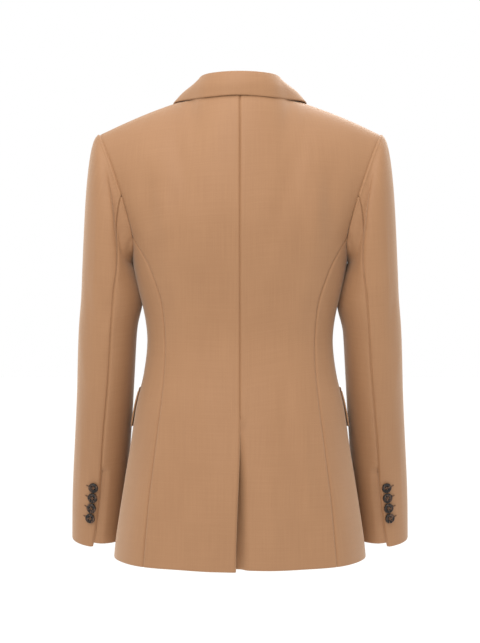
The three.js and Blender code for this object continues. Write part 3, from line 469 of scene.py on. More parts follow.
@dataclass
class SleeveForm:
    """A two-piece sleeve from its cuff to the armhole of the body."""

    body: BodyForm
    side: Side
    cuff_z: float = -640
    bicep_z: float = -232
    back_share: float = 0.36  # of the armhole loop lies on the back, the same share on the front
    front_seam_at: float = 0.73
    cuff_vent_z: float = -528
    lap_width: float = 0.045
    lap_reach: float = 0.06
    lap_sink: float = 3.2
    lap_run: float = 16  # the height over which the underlap gets its width
    sink_run: float = 10  # and over which it sinks, above the vent
    sink_share: float = 0.8  # of its reach, over which it sinks
    blend: float = 0.5  # how far outward, of the half width, the two halves of a ring pass into each other
    slope_step: float = 4  # height between the two rings that the slope at the bicep is taken from
    drift_radius: float = 30  # of the ring, where the seams lean as they pass the bicep
    seam_shift: float = 0.055  # how much lower the back seam meets the armhole than its line does
    shift_top: float = 1.8  # v at which that is whole
    short: float = 5.5  # the under sleeve ends this much higher behind the vent
    short_reach: tuple = (0.3, 0.12)  # from its far edge, and up from the cuff
    rings: Rows = Rows(
        "z outer x inner half_depth y",
        (-650, 250.4, 211, 171.5, 44, -68), (-581, 248.4, 207.5, 167, 46.5, -54),
        (-490, 243.2, 202, 160.8, 50, -36), (-422, 239.2, 197.5, 156.3, 53, -23),
        (-376, 237.1, 194.5, 153.3, 54.5, -14.5), (-329, 234.6, 191.5, 150, 56, -8),
        (-285, 231, 188.8, 144.6, 58.5, -3), (-250, 229.6, 187, 151.8, 60.5, -1),
        (-232, 228.8, 186, 156.8, 61, 0),
    )
    cap: Rows = Rows(
        "at angle x y z rise",
        (0, 0, 12.5, 0, 1.5, 150), (0.09, 52, 13, 3, -4, 118), (0.18, 113, 12, 5, -14, 56),
        (0.36, 141, 4, 2, -8, 13), (0.5, 180, 1.5, 0, -1, 2), (0.64, 221, 4, -2, -6, 8),
        (0.82, 258, 11, -6, -12, 58), (0.91, 307, 13, -3, -4, 118), (1, 360, 12.5, 0, 1.5, 150),
    )
    elbow_seam: Rows = Rows(
        "z angle",
        (-650, 77), (-618, 86), (-558, 93), (-478, 95), (-381, 99.5), (-277, 101), (-232, 113),
    )

    @property
    def elbow_at(self) -> float:
        """Place of the back seam round the armhole."""
        return self.back_share / 2

    def armhole(self, place: Array) -> Array:
        """Points of the armhole by place: back from the shoulder (0), armpit, front, shoulder (1)."""
        share = self.back_share
        back = self.body.back(np.ones_like(place), 2 - np.minimum(place, share) / share, self.side)
        up = 1 + (np.maximum(place, 1 - share) - 1 + share) / share
        front = self.body.front(np.zeros_like(place), up, self.side)
        across = np.clip((place - share) / (1 - 2 * share), 0, 1)
        under = self.body.side_panel(across, np.ones_like(place))
        result = np.where((place < share)[..., None], back, under)
        return np.where((place > 1 - share)[..., None], front, result)

    def ring(self, degrees: Array, z: Array, out: Number = 0) -> Array:
        """Points of the sleeve's rings: ellipses of two half widths, square to the leaning middle."""
        outward = np.cos(np.radians(degrees))
        middle = self.rings("x", z)
        inner, outer = middle - self.rings("inner", z), self.rings("outer", z) - middle
        half_width = lerp(inner, outer, smoothstep(outward, -self.blend, self.blend))
        lean_x = middle - self.rings("x", z - 1)
        lean_y = self.rings("y", z) - self.rings("y", z - 1)
        dx = (half_width + out) * outward
        dy = (self.rings("half_depth", z) + out) * np.sin(np.radians(degrees))
        return points(middle + dx, self.rings("y", z) + dy, z - lean_x * dx - lean_y * dy)

    def line_angle(self, place: Array, z: Array) -> Array:
        """The angle on the ring at height z of the line that starts at `place` on the armhole."""
        twist = np.where(place < self.back_share, np.sin(np.pi * place / self.back_share) ** 2, 0)
        turn = self.elbow_seam("angle", z) - self.elbow_seam("angle", self.bicep_z)
        return self.cap("angle", place) + twist * turn

    def surface(self, u: Array, v: Array, out: Number = 0) -> Array:
        """The sleeve: u the place round the armhole, v cuff (0), bicep (1), armhole (2)."""
        u, v, out = together(u, v, out)
        place = (u + 1) % 1
        z = lerp(self.cuff_z, self.bicep_z, np.minimum(v, 1))
        lower = self.ring(self.line_angle(place, z), z, out)
        top = np.full(place.shape, float(self.bicep_z))
        angle = self.line_angle(place, top)
        bicep = self.ring(angle, top, out)
        across = unit(self.ring(angle + 1, top, out) - self.ring(angle - 1, top, out))
        under = top - self.slope_step
        drift = np.radians(angle - self.line_angle(place, under)) * self.drift_radius
        slope = unit(bicep - self.ring(angle, under, out) + across * drift[..., None])
        row = self.cap.all(place)
        start = self.armhole(place)
        leave = start + points(row["x"], row["y"], row["z"])
        upper = bezier(bicep, bicep + slope * row["rise"][..., None], leave, start, v - 1)
        return np.where((v > 1)[..., None], upper, lower)

    def shifted(self, u: Array, v: Array, far: float) -> Array:
        """u with the back seam moved round the armhole above the bicep, and the far edge kept."""
        weight = np.clip((far - u) / (far - self.elbow_at), 0, 1)
        return u + self.seam_shift * weight * smoothstep(v, 1, self.shift_top)

    def top_surface(self, u: Array, v: Array) -> Array:
        """The top sleeve."""
        return self.surface(self.shifted(u, v, self.front_seam_at - 1), v)

    def under_surface(self, u: Array, v: Array) -> Array:
        """The under sleeve, whose back edge runs on under the top sleeve at the vent."""
        across, up = self.short_reach
        rise = self.short / (self.bicep_z - self.cuff_z) * smoothstep(self.front_seam_at - u, 0, across)
        v = v + rise * fade(v, 0, up)
        u = self.shifted(u, v, self.front_seam_at)
        z = lerp(self.cuff_z, self.bicep_z, v)
        below = self.cuff_vent_z - z
        near = np.clip(1 - (u - self.elbow_at) / self.lap_reach, 0, 1)
        sink = -self.lap_sink * smoothstep(near, 0, self.sink_share) * smoothstep(below, -self.sink_run, 0)
        return self.surface(u - self.lap_width * near * near * smoothstep(below, 0, self.lap_run), v, sink)


# ---- Lapel and collar -----------------------------------------------------------------------------


@dataclass
class LapelForm:
    """A notch lapel: the cloth turned back over a front above its break."""

    body: BodyForm
    side: Side
    cloth: float = 1.6
    layer_gap: float = 0.8
    roll_opening: float = 3
    roll_share: float = 0.3
    roll_opens: tuple = (-248, -170)  # heights between which the roll opens
    lay_share: float = 0.4  # of the width, over which the lapel comes to lie on the front
    lines: int = 11  # how many lines the front's width is measured with
    lines_from: float = 0.5  # the lowest of them
    gorge: tuple = (0.72, 0.48)  # yoke height of the gorge at the roll and at the tip
    width: Rows = Rows(
        "z width",
        (-325, 5), (-300, 25), (-260, 47), (-200, 66), (-150, 75), (-80, 80), (-20, 82),
    )

    def front(self, u: Array, v: Array) -> Array:
        """The front under the lapel."""
        return self.body.front(u, v, self.side)

    def opening(self, z: Array) -> Array:
        """The space inside the roll, which opens above the place where the fronts cross."""
        return lerp(self.layer_gap, self.roll_opening, smoothstep(z, *self.roll_opens))

    def lay_gap(self, opening: Number, across: Array) -> Array:
        """How far the turned-back cloth lies off the front, across the lapel."""
        return lerp(opening, self.layer_gap, smoothstep(across, 0, self.lay_share))

    def roll(self, v: Array, turn: Array, cloth: float, opening: Number) -> Array:
        """Half circles round the front's edge, from inside it (turn 0) onto the front (1)."""
        edge = self.front(1.0, v)
        normal = normals_of(self.front, np.ones_like(v), v, -1)
        tangent = unit(self.front(1.0, v + NUDGE) - self.front(1.0, v - NUDGE))
        past = np.cross(normal, tangent)
        opening = np.asarray(opening)[..., None] * np.ones(edge.shape)
        radius = cloth + opening / 2
        turn = np.asarray(turn)[..., None] * math.pi
        return edge + normal * (opening / 2 - radius * np.cos(turn)) + past * radius * np.sin(turn)

    def across(self, share: Array, v: Array) -> Array:
        """u on the front of a share of the lapel's width, measured from the roll."""
        rows = np.linspace(self.lines_from, 2, self.lines)
        line = self.front(np.linspace(0, 1, self.lines)[None, :], rows[:, None])
        length = np.linalg.norm(np.diff(line, axis=1), axis=-1).sum(axis=1)
        measured = Rows("v length", *zip(rows, length))
        return 1 - share * self.width("width", self.front(1.0, v)[..., 2]) / measured("length", v)

    def surface(self, r: Array, q: Array) -> Array:
        """The lapel's face: r round the roll and across to the outer edge, q break to gorge."""
        r, q = together(r, q)
        hem = float(self.front(1.0, 0.0)[2])
        break_v = (self.body.break_z - hem) / (self.body.front_yoke_z - hem)
        across = np.maximum(r - self.roll_share, 0) / (1 - self.roll_share)
        v = lerp(break_v, 1 + lerp(*self.gorge, across), q)
        opening = self.opening(self.front(1.0, v)[..., 2])
        rolled = self.roll(v, np.minimum(r / self.roll_share, 1), self.cloth, opening)
        u = self.across(across, v)
        lift = self.lay_gap(opening, across) + self.cloth
        flat = self.front(u, v) + normals_of(self.front, u, v, -1) * lift[..., None]
        return np.where((r < self.roll_share)[..., None], rolled, flat)


@dataclass
class CollarForm:
    """The collar: a stand that rises from the neck edge, a soft fold and a fall."""

    body: BodyForm
    lapel: LapelForm
    cloth: float = 2.2
    roll_share: float = 4 / 6
    notch_share: float = 5 / 6
    notch: float = 0.55
    tip: tuple = (0.6, 1.73)
    fold_radius: float = 3.4
    fall_gap: float = 1
    fall_bulge: float = 4
    neck_gap: float = 1.2
    sound_v: float = 1.98  # just under the body's upper edge, where its normals are still sound
    end_from: float = 0.72  # share of the way to the gorge from which the collar turns into its end
    # Place on the neck edge, the fold, and the fall's edge on the back (side 1) or front (-1).
    rows: tuple = (
        (0, 0, 0, 60, 38.5, 1, 0, 1.95), (0.2, 0.33, 31, 52, 38, 1, 0.2, 1.945),
        (0.4, 0.67, 53, 30, 36.5, 1, 0.4, 1.945), (0.55, 1, 61, -3, 32, 1, 0.556, 2),
        (0.7, 1.3, 62, -22, 23, -1, 0.8, 1.93), (0.85, 1.65, 61, -38, 2, -1, 0.7, 1.82),
        (1, 2, 60, -50, -30, -1, 0.6, 1.73),
    )
    curves: Optional[Rows] = None

    def back(self, u: Array, v: Array) -> Array:
        """The left back under the collar."""
        return self.body.back(u, v, Side.LEFT)

    def __post_init__(self) -> None:
        """Works out the curves of the neck place, the fold and the fall's edge."""
        table = []
        for at, neck, x, y, z, side, u, v in self.rows:
            surface = self.back if side > 0 else self.lapel.front
            place = (np.float64(u), np.float64(min(v, self.sound_v)))
            lift = normals_of(surface, *place, -1) * (self.fall_gap + self.cloth)
            edge = surface(np.float64(u), np.float64(v)) + lift
            table.append((at, neck, x, y, z, *edge))
        at, neck, x, y, z, edge_x, edge_y, edge_z = table[1]
        mirrored = (-at, -neck, -x, y, z, -edge_x, edge_y, edge_z)
        self.curves = Rows("at neck x y z edge_x edge_y edge_z", mirrored, *table)

    def neck_edge(self, place: Array) -> tuple[Array, Array, Array]:
        """The neck edge, its outward normals and the ways past it.

        Args:
            place: 0 at the centre back, 1 at the shoulder seam, 2 at the gorge.

        Returns:
            The points, the normals and the directions past the edge.
        """
        u = np.minimum(place, 1) * self.body.neck_share
        back_past = unit(self.back(u, 2.0) - self.back(u, self.sound_v))
        back_normal = normals_of(self.back, u, np.full_like(u, self.sound_v), -1)
        v = lerp(2.0, 1 + self.lapel.gorge[0], np.maximum(place, 1) - 1)
        front = self.lapel.front
        front_normal = normals_of(front, np.ones_like(v), np.minimum(v, self.sound_v), -1)
        tangent = unit(front(1.0, v + NUDGE) - front(1.0, v - NUDGE))
        on_back = (place < 1)[..., None]
        point = np.where(on_back, self.body.back_neck(np.minimum(place, 1)), front(1.0, v))
        normal = np.where(on_back, back_normal, front_normal)
        return point, normal, np.where(on_back, back_past, np.cross(front_normal, tangent))

    def end(self, r: Array) -> Array:
        """The collar's line along the gorge and up its front edge: r from the roll to the tip."""
        front = self.lapel.front
        v = np.full_like(r, 1 + self.lapel.gorge[0])
        turn = np.minimum(r / self.roll_share, 1)
        rolled = self.lapel.roll(v, turn, self.cloth, np.full_like(r, self.lapel.roll_opening))
        along = np.clip((r - self.roll_share) / (self.notch_share - self.roll_share), 0, 1)
        rise = np.clip((r - self.notch_share) / (1 - self.notch_share), 0, 1)
        gorge_v = 1 + lerp(*self.lapel.gorge, self.notch * along)
        line_v = lerp(gorge_v, self.tip[1], rise)
        line_u = lerp(self.lapel.across(self.notch * along, gorge_v), self.tip[0], rise)
        lift = self.lapel.lay_gap(self.lapel.roll_opening, self.notch * along) + self.cloth
        flat = front(line_u, line_v) + normals_of(front, line_u, line_v, -1) * lift[..., None]
        return np.where((r < self.roll_share)[..., None], rolled, flat)

    def section(self, at: Array, r: Array) -> Array:
        """The collar's sections: a centripetal spline through foot, stand, fold, fall and edge."""
        row = self.curves.all(at)
        point, normal, past = self.neck_edge(row["neck"])
        base = point - normal * self.body.cloth + past * self.neck_gap
        fold = points(row["x"], row["y"], row["z"])
        edge = points(row["edge_x"], row["edge_y"], row["edge_z"])
        out = edge - base
        out[..., 2] = 0
        out = unit(out)
        down = np.array([0, 0, self.fold_radius])
        inner = fold - out * self.fold_radius - down
        outer = fold + out * self.fold_radius - down
        fall = (outer + edge) / 2 + out * self.fall_bulge / 2 + np.array([0, 0, self.fall_bulge / 2])
        return through([base, (base + inner) / 2, inner, fold, outer, fall, edge], np.clip(r, 0, 1))

    def surface(self, u: Array, r: Array) -> Array:
        """The collar: u from the right gorge (-1) over the centre back (0) to the left (1)."""
        u, r = together(u, r)
        left = np.abs(u)
        point = lerp(self.section(left, r), self.end(r), smoothstep(left, self.end_from, 1)[..., None])
        point[..., 0] *= np.where(u < 0, -1, 1)
        return point


def through(knots: list[Array], t: Array) -> Array:
    """Points on the centripetal splines through rows of knots.

    Each stretch is the cubic with the knots' values and with slopes that weigh the neighbouring
    stretches by the square root of their lengths.

    Args:
        knots: arrays of points, one array a knot.
        t: shares of the way from the first knot to the last.

    Returns:
        The points.
    """
    line = np.stack([2 * knots[0] - knots[1], *knots, 2 * knots[-1] - knots[-2]])
    place = t * (len(knots) - 1)
    i = np.clip(np.floor(place).astype(int), 0, len(knots) - 2)
    w = (place - i)[..., None]
    a, b, c, d = (np.take_along_axis(line, (i + k)[None, ..., None], axis=0)[0] for k in range(4))
    gap = [np.sqrt(np.linalg.norm(q - p, axis=-1, keepdims=True)) for p, q in ((a, b), (b, c), (c, d))]
    leave = ((b - a) / gap[0] - (c - a) / (gap[0] + gap[1]) + (c - b) / gap[1]) * gap[1]
    arrive = ((c - b) / gap[1] - (d - b) / (gap[1] + gap[2]) + (d - c) / gap[2]) * gap[1]
    return b + leave * w + (3 * (c - b) - 2 * leave - arrive) * w**2 + (2 * (b - c) + leave + arrive) * w**3


# ---- Relief of the cloth --------------------------------------------------------------------------


class Edge(Enum):
    """How an edge of a cloth piece is finished: depth, width of its slope, allowance ridge."""

    SEAM = (1.8, 1.25, 0.25)
    FOLD = (0.35, 0.8, 0.0)
    JOINED = (0.25, 0.9, 0.0)
    TUCKED = (0.9, 1.0, 0.25)


@dataclass(frozen=True)
class Crease:
    """A soft trough or ridge along a line on a piece, in the two coordinates that the piece reads."""

    start: tuple
    end: tuple
    width: float
    depth: float  # below 0 for a trough
    begins: tuple = (-0.15, 0.4)  # shares along it between which it gets its depth
    ends: tuple = (0.6, 1.15)  # and between which it loses it

    def relief(self, a: Array, b: Array) -> Array:
        """Height over the cloth: a bell across the line that fades towards its two ends."""
        run = np.subtract(self.end, self.start)
        length = float(np.hypot(*run))
        da, db = a - self.start[0], b - self.start[1]
        along = (da * run[0] + db * run[1]) / length**2
        off = (da * run[1] - db * run[0]) / length
        share = smoothstep(along, *self.begins) * fade(along, *self.ends)
        return self.depth * bell(off, self.width) * share


def creases(*rows: tuple) -> tuple:
    """Creases from rows of two ends' coordinates, a width and a depth, below 0 for a trough."""
    return tuple(Crease(row[:2], row[2:4], *row[4:]) for row in rows)


@dataclass
class ClothPiece:
    """One cloth wall: an outer face, an inner face one cloth below it and a rounded rim."""

    name: str
    node: str
    surface: Surface
    us: Array
    vs: Array
    facing: int
    side: Side = Side.LEFT
    thickness: float = 1.8
    edges: dict[str, Edge] = field(default_factory=dict)
    relief: Optional[Relief] = None
    rim: float = 0.32  # how far the rim's middle stands out, in cloths
    grain: Optional[float] = 0.5  # share across that the grain runs along; None is the centre plane
    crosswise: bool = False  # whether the grain runs across the piece
    trim: Optional["ClothPiece"] = None  # a narrow folded strip that goes with this piece
    tuck: float = 1.5  # how far a tucked edge runs on into the piece that it is sewn to
    lap: float = 0.12  # how far a sewn edge runs into its neighbour's, so that no light passes
    armhole: str = ""  # the side edge that is sewn to the sleeve above the last ring
    armhole_ease: float = 0.8  # of the seam's depth, which is left out there
    ease_at: tuple = (0.97, 1.04)  # heights between which that begins
    pinch: float = 0.5  # sine of the angle between the two ways below which a corner is degenerate

    def build(self) -> Object:
        """Returns:
            The piece's object.
        """
        u, v = np.meshgrid(self.us, self.vs, indexing="ij")
        grid = self.surface(u, v)
        grid[..., 0] *= self.side.value
        if self.edges.get("v1") is Edge.TUCKED:
            grid[:, -1] += unit(grid[:, -1] - grid[:, -3]) * self.tuck
        across, up = self.spans(grid)
        start = grid[:1, :, 0] * self.side.value
        inward = self.grid_normals(grid) * self.thickness
        height = self.edge_relief(across, up)
        if self.relief is not None:
            height = height + self.relief(grid, u, v)
        for name, first, second in (("u0", 0, 1), ("u1", -1, -2)):
            if self.edges.get(name) in (Edge.SEAM, Edge.JOINED):
                grid[first] -= unit(grid[second] - grid[first]) * self.lap
        grid = grid + inward / self.thickness * height[..., None]
        if self.grain is not None:
            start = -across[int(self.grain * (len(self.us) - 1))][None]
        along = (across + start) * self.side.value
        place = (up, along) if self.crosswise else (along, up)
        obj = self.shell(grid, grid - inward, *place)
        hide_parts(self.node)
        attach(obj, "root")
        return obj

    def spans(self, grid: Array) -> tuple[Array, Array]:
        """Lengths along the cloth from the first column and from the first row."""
        across = np.zeros(grid.shape[:2])
        up = np.zeros(grid.shape[:2])
        across[1:] = np.cumsum(np.linalg.norm(np.diff(grid, axis=0), axis=-1), axis=0)
        up[:, 1:] = np.cumsum(np.linalg.norm(np.diff(grid, axis=1), axis=-1), axis=1)
        return across, up

    def grid_normals(self, grid: Array) -> Array:
        """Unit normals of the grid: its two differences crossed, on the facing side.

        Where a rounded corner makes the two nearly parallel, the column nearer the middle gives them.
        """
        along, up = np.gradient(grid, axis=0), np.gradient(grid, axis=1)
        cross = np.cross(along, up)
        size = np.linalg.norm(along, axis=-1) * np.linalg.norm(up, axis=-1)
        flat = (np.linalg.norm(cross, axis=-1) < self.pinch * size)[..., None]
        normal = unit(cross) * self.facing
        middle = len(normal) // 2
        for i in range(middle, len(normal)):
            normal[i] = np.where(flat[i], normal[i - 1], normal[i])
        for i in range(middle, -1, -1):
            normal[i] = np.where(flat[i], normal[i + 1], normal[i])
        return normal

    def edge_relief(self, across: Array, up: Array) -> Array:
        """The fall of the cloth to its edges, and the ridge of the seam allowance beside a seam."""
        distance = {"u0": across, "u1": across[-1:] - across, "v0": up, "v1": up[:, -1:] - up}
        height = np.zeros(across.shape)
        for name, edge in self.edges.items():
            depth, width, ridge = edge.value
            off = distance[name]
            if name == self.armhole:
                depth = depth * (1 - self.armhole_ease * smoothstep(self.vs, *self.ease_at))[None]
            swell = sum(bell(off - place, spread) for place, spread in ALLOWANCE)
            height = height - depth * bell(off, width) + ridge * swell
        return height

    def shell(self, outer: Array, inner: Array, across: Array, up: Array) -> Object:
        """The closed mesh: two grids of faces, and a rim of two strips round them.

        Args:
            outer: the outer grid of points.
            inner: the inner grid.
            across: length along the cloth across it, for the cloth's own coordinates.
            up: the same up it.

        Returns:
            The object, in metres.
        """
        n, m = outer.shape[:2]
        index = np.arange(n * m).reshape(n, m)
        loop = np.concatenate([index[:-1, 0], index[-1, :-1], index[:0:-1, -1], index[0, :0:-1]])
        held = index[np.clip(np.arange(n), 1, n - 2)][:, np.clip(np.arange(m), 1, m - 2)].ravel()
        flat_outer, flat_inner = outer.reshape(-1, 3), inner.reshape(-1, 3)
        push = unit(flat_outer[loop] - flat_outer[held[loop]]) * self.thickness * self.rim
        middle = (flat_outer[loop] + flat_inner[loop]) / 2 + push
        walls = np.stack([index[:-1, :-1], index[1:, :-1], index[1:, 1:], index[:-1, 1:]], -1)
        walls = walls.reshape(-1, 4)
        ring = np.arange(len(loop))
        following = np.roll(ring, -1)
        rim = 2 * n * m
        high = np.stack([loop[following], loop[ring], rim + ring, rim + following], -1)
        low = np.stack([rim + following, rim + ring, n * m + loop[ring], n * m + loop[following]], -1)
        faces = np.concatenate([walls, walls[:, ::-1] + n * m, high, low])
        if self.facing < 0:
            faces = faces[:, ::-1]
        place = np.stack([across.ravel(), up.ravel()], -1) * MM
        place = np.concatenate([place, place, place[loop]])
        vertices = np.concatenate([flat_outer, flat_inner, middle]) * MM
        return mesh_object(self.name, vertices, faces.tolist(), place)

    def declare(self, obj: Object, trims: list[Object]) -> None:
        """Reads the piece's own cloth coordinates into an array, and does nothing more with them.

        Args:
            obj: the piece.
            trims: narrow strips that go with it; not used.
        """
        place = np.zeros(2 * len(obj.data.loops), np.float32)
        obj.data.uv_layers["cloth"].data.foreach_get("uv", place)


def placed(name: str, data: bpy.types.ID) -> Object:
    """A new object of the scene."""
    obj = bpy.data.objects.new(name, data)
    bpy.context.scene.collection.objects.link(obj)
    return obj


def mesh_object(name: str, vertices: Array, faces: list, place: Optional[Array] = None) -> Object:
    """A smooth-shaded mesh object at the origin.

    Args:
        name: the object's name.
        vertices: points in metres.
        faces: the vertex numbers of each face.
        place: the cloth's own coordinates of each vertex, if it has them.

    Returns:
        The object, linked into the scene.
    """
    mesh = bpy.data.meshes.new(name)
    mesh.from_pydata(vertices.tolist(), [], faces)
    mesh.polygons.foreach_set("use_smooth", np.ones(len(faces), bool))
    if place is not None:
        layer = mesh.uv_layers.new(name="cloth")
        corner = np.zeros(len(mesh.loops), np.int32)
        mesh.loops.foreach_get("vertex_index", corner)
        layer.data.foreach_set("uv", place[corner].astype(np.float32).ravel())
    mesh.update()
    return placed(name, mesh)


def tube_faces(rows: int, count: int, start: int = 0) -> list[list[int]]:
    """Faces of a closed tube whose points are its rings and then its two poles.

    Args:
        rows: how many rings it has.
        count: points in a ring.
        start: the number of its first point.

    Returns:
        The faces: four corners between rings, and three at the poles.
    """
    index = start + np.arange(rows * count).reshape(rows, count)
    after = np.roll(index, -1, axis=1)
    pole = np.full(count, start + rows * count)
    walls = np.stack([index[:-1], after[:-1], after[1:], index[1:]], -1).reshape(-1, 4)
    first = np.stack([after[0], index[0], pole], -1)
    last = np.stack([index[-1], after[-1], pole + 1], -1)
    return walls.tolist() + first.tolist() + last.tolist()


# ---- Finishes -------------------------------------------------------------------------------------


class Socket:
    """An output of a material's nodes, with arithmetic that adds Math nodes."""

    def __init__(self, shader: "Shader", link: bpy.types.NodeSocket) -> None:
        """Keeps the shader and the output."""
        self.shader = shader
        self.link = link

    def _math(self, operation: str, first: "Term", second: "Term") -> "Socket":
        """One Math node on two terms."""
        return self.shader.node("ShaderNodeMath", {"operation": operation}, {0: first, 1: second})

    def __add__(self, other: "Term") -> "Socket":
        """self + other."""
        return self._math("ADD", self, other)

    def __sub__(self, other: "Term") -> "Socket":
        """self - other."""
        return self._math("SUBTRACT", self, other)

    def __rsub__(self, other: "Term") -> "Socket":
        """other - self."""
        return self._math("SUBTRACT", other, self)

    def __mul__(self, other: "Term") -> "Socket":
        """self * other."""
        return self._math("MULTIPLY", self, other)

    __radd__ = __add__
    __rmul__ = __mul__

    def sine(self) -> "Socket":
        """The sine of the value."""
        return self._math("SINE", self, 0.0)

    def between(self, low: float, high: float) -> "Socket":
        """0 at low and below, 1 at high and above."""
        settings = {"interpolation_type": "SMOOTHSTEP"}
        return self.shader.node("ShaderNodeMapRange", settings, {0: self, 1: low, 2: high})


Term = Union[Socket, float, tuple]


class Shader:
    """A material and its nodes."""

    def __init__(self, name: str) -> None:
        """Starts a material with one Principled BSDF."""
        self.material = bpy.data.materials.new(name)
        self.material.use_nodes = True
        self.tree = self.material.node_tree
        self.surface = self.tree.nodes["Principled BSDF"]

    def node(self, kind: str, settings: dict, inputs: dict, output: Union[int, str] = 0) -> Socket:
        """Adds a node.

        Args:
            kind: the node's type.
            settings: its properties, which are set first.
            inputs: values or sockets by input name or number.
            output: which output to give back.

        Returns:
            The output.
        """
        made = self.tree.nodes.new(kind)
        for key, value in settings.items():
            setattr(made, key, value)
        self.feed(made, inputs)
        return Socket(self, made.outputs[output])

    def feed(self, made: bpy.types.Node, inputs: dict) -> None:
        """Sets or links a node's inputs."""
        for key, value in inputs.items():
            if isinstance(value, Socket):
                self.tree.links.new(value.link, made.inputs[key])
            else:
                made.inputs[key].default_value = value

    def finish(self, inputs: dict) -> bpy.types.Material:
        """Feeds the Principled BSDF and gives back the material."""
        self.feed(self.surface, inputs)
        return self.material

    def noise(self, vector: Socket, scale: float, detail: float = 1.0) -> Socket:
        """A noise value from 0 to 1."""
        return self.node("ShaderNodeTexNoise", {}, {"Vector": vector, "Scale": scale, "Detail": detail})

    def streaks(self, vector: Socket, stretch: tuple, detail: float = 1.0) -> Socket:
        """Noise on coordinates that are multiplied by three factors."""
        scaled = self.node("ShaderNodeMapping", {}, {"Vector": vector, "Scale": stretch})
        return self.noise(scaled, 1.0, detail)

    def split(self, vector: Socket) -> list[Socket]:
        """The three coordinates of a vector."""
        first = self.node("ShaderNodeSeparateXYZ", {}, {0: vector})
        return [Socket(self, output) for output in first.link.node.outputs]

    def mix(self, factor: Term, first: Term, second: Term) -> Socket:
        """Two colours mixed; inputs 6 and 7 and output 2 of the node are the colours."""
        settings = {"data_type": "RGBA"}
        return self.node("ShaderNodeMix", settings, {0: factor, 6: first, 7: second}, 2)

    def bump(self, height: Socket, distance: float, strength: float) -> Socket:
        """A bumped normal."""
        inputs = {"Height": height, "Distance": distance, "Strength": strength}
        return self.node("ShaderNodeBump", {}, inputs, "Normal")


@dataclass(frozen=True)
class WoolFinish:
    """Smooth worsted twill: fine diagonal ribs, faint upright streaks and a soft sheen.

    Stretches are cycles of noise in a metre across and up the cloth. Weights are shares in which
    streak, weft, yarn, cloud and rib change the tone, and rib, yarn and streak the height.
    """

    name: str = "camel_wool"
    light: tuple = (0.325, 0.168, 0.08, 1)
    dark: tuple = (0.287, 0.144, 0.067, 1)
    deep: tuple = (0.235, 0.112, 0.05, 1)
    roughness: float = 0.62
    rib: float = 0.00095  # from one twill rib to the next
    slant: tuple = (0.87, 0.5)  # of the ribs, across and up
    yarn: tuple = (900, 900, 1)
    streak: tuple = (700, 14, 1)
    cloud: tuple = (16, 9, 1)
    weft: tuple = (12, 640, 1)
    cloud_detail: float = 3.0
    tone_weights: tuple = (0.55, 0.45, 0.4, 0.6, 0.06)
    tone_range: tuple = (0.12, 0.88)
    deep_range: tuple = (0.12, 0.3)  # of the yarn's noise over its middle
    deep_weight: float = 0.25
    height_weights: tuple = (0.5, 0.9, 0.35)
    rough_weights: tuple = (0.1, 0.06)  # of yarn and streak
    bump: tuple = (0.00012, 0.42)  # distance and strength
    sheen: float = 0.34
    sheen_roughness: float = 0.42
    sheen_tint: tuple = (1.0, 0.83, 0.66, 1)
    specular: float = 0.32

    def material(self) -> bpy.types.Material:
        """The cloth's material, which reads the cloth's own coordinates in metres.

        Returns:
            The material.
        """
        shader = Shader(self.name)
        place = shader.node("ShaderNodeUVMap", {"uv_map": "cloth"}, {})
        x, y, _ = shader.split(place)
        turn = 2 * math.pi / self.rib
        ribs = (x * (turn * self.slant[0]) + y * (turn * self.slant[1])).sine()
        yarn = shader.streaks(place, self.yarn)
        streak = shader.streaks(place, self.streak)
        cloud = shader.streaks(place, self.cloud, self.cloud_detail)
        weft = shader.streaks(place, self.weft)
        by_streak, by_weft, by_yarn, by_cloud, by_rib = self.tone_weights
        tone = (streak - 0.5) * by_streak + (weft - 0.5) * by_weft + (yarn - 0.5) * by_yarn
        tone = tone + (cloud - 0.5) * by_cloud + ribs * by_rib + 0.5
        base = shader.mix(tone.between(*self.tone_range), self.dark, self.light)
        base = shader.mix((yarn - 0.5).between(*self.deep_range) * self.deep_weight, base, self.deep)
        by_rib, by_yarn, by_streak = self.height_weights
        height = ribs * by_rib + yarn * by_yarn + streak * by_streak
        by_yarn, by_streak = self.rough_weights
        rough = yarn * by_yarn + streak * by_streak + (self.roughness - ROUGHNESS_MIDDLE)
        normal = shader.bump(height, *self.bump)
        inputs = {
            "Base Color": base,
            "Roughness": rough,
            "Normal": normal,
            "Sheen Weight": self.sheen,
            "Sheen Roughness": self.sheen_roughness,
            "Sheen Tint": self.sheen_tint,
            "Specular IOR Level": self.specular,
        }
        return shader.finish(inputs)


@dataclass(frozen=True)
class HornFinish:
    """Polished dark horn with lighter grey-brown streaks."""

    name: str = "dark_horn"
    dark: tuple = (0.007, 0.0045, 0.0035, 1)
    light: tuple = (0.1, 0.05, 0.028, 1)
    roughness: float = 0.26
    streak: tuple = (420, 260, 210)
    streak_detail: float = 3.0
    streak_range: tuple = (0.46, 0.68)
    streak_rough: float = 0.2
    grain: float = 2600.0
    grain_weight: float = 0.4
    bump: tuple = (0.0001, 0.3)  # distance and strength
    specular: float = 0.3

    def material(self) -> bpy.types.Material:
        """The horn's material, streaked across the button.

        Returns:
            The material.
        """
        shader = Shader(self.name)
        place = shader.node("ShaderNodeTexCoord", {}, {}, "Object")
        streak = shader.streaks(place, self.streak, self.streak_detail)
        grain = shader.noise(place, self.grain)
        base = shader.mix(streak.between(*self.streak_range), self.dark, self.light)
        rough = streak * self.streak_rough + (self.roughness - ROUGHNESS_MIDDLE)
        normal = shader.bump(streak + grain * self.grain_weight, *self.bump)
        inputs = {"Base Color": base, "Roughness": rough, "Normal": normal}
        return shader.finish({**inputs, "Specular IOR Level": self.specular})


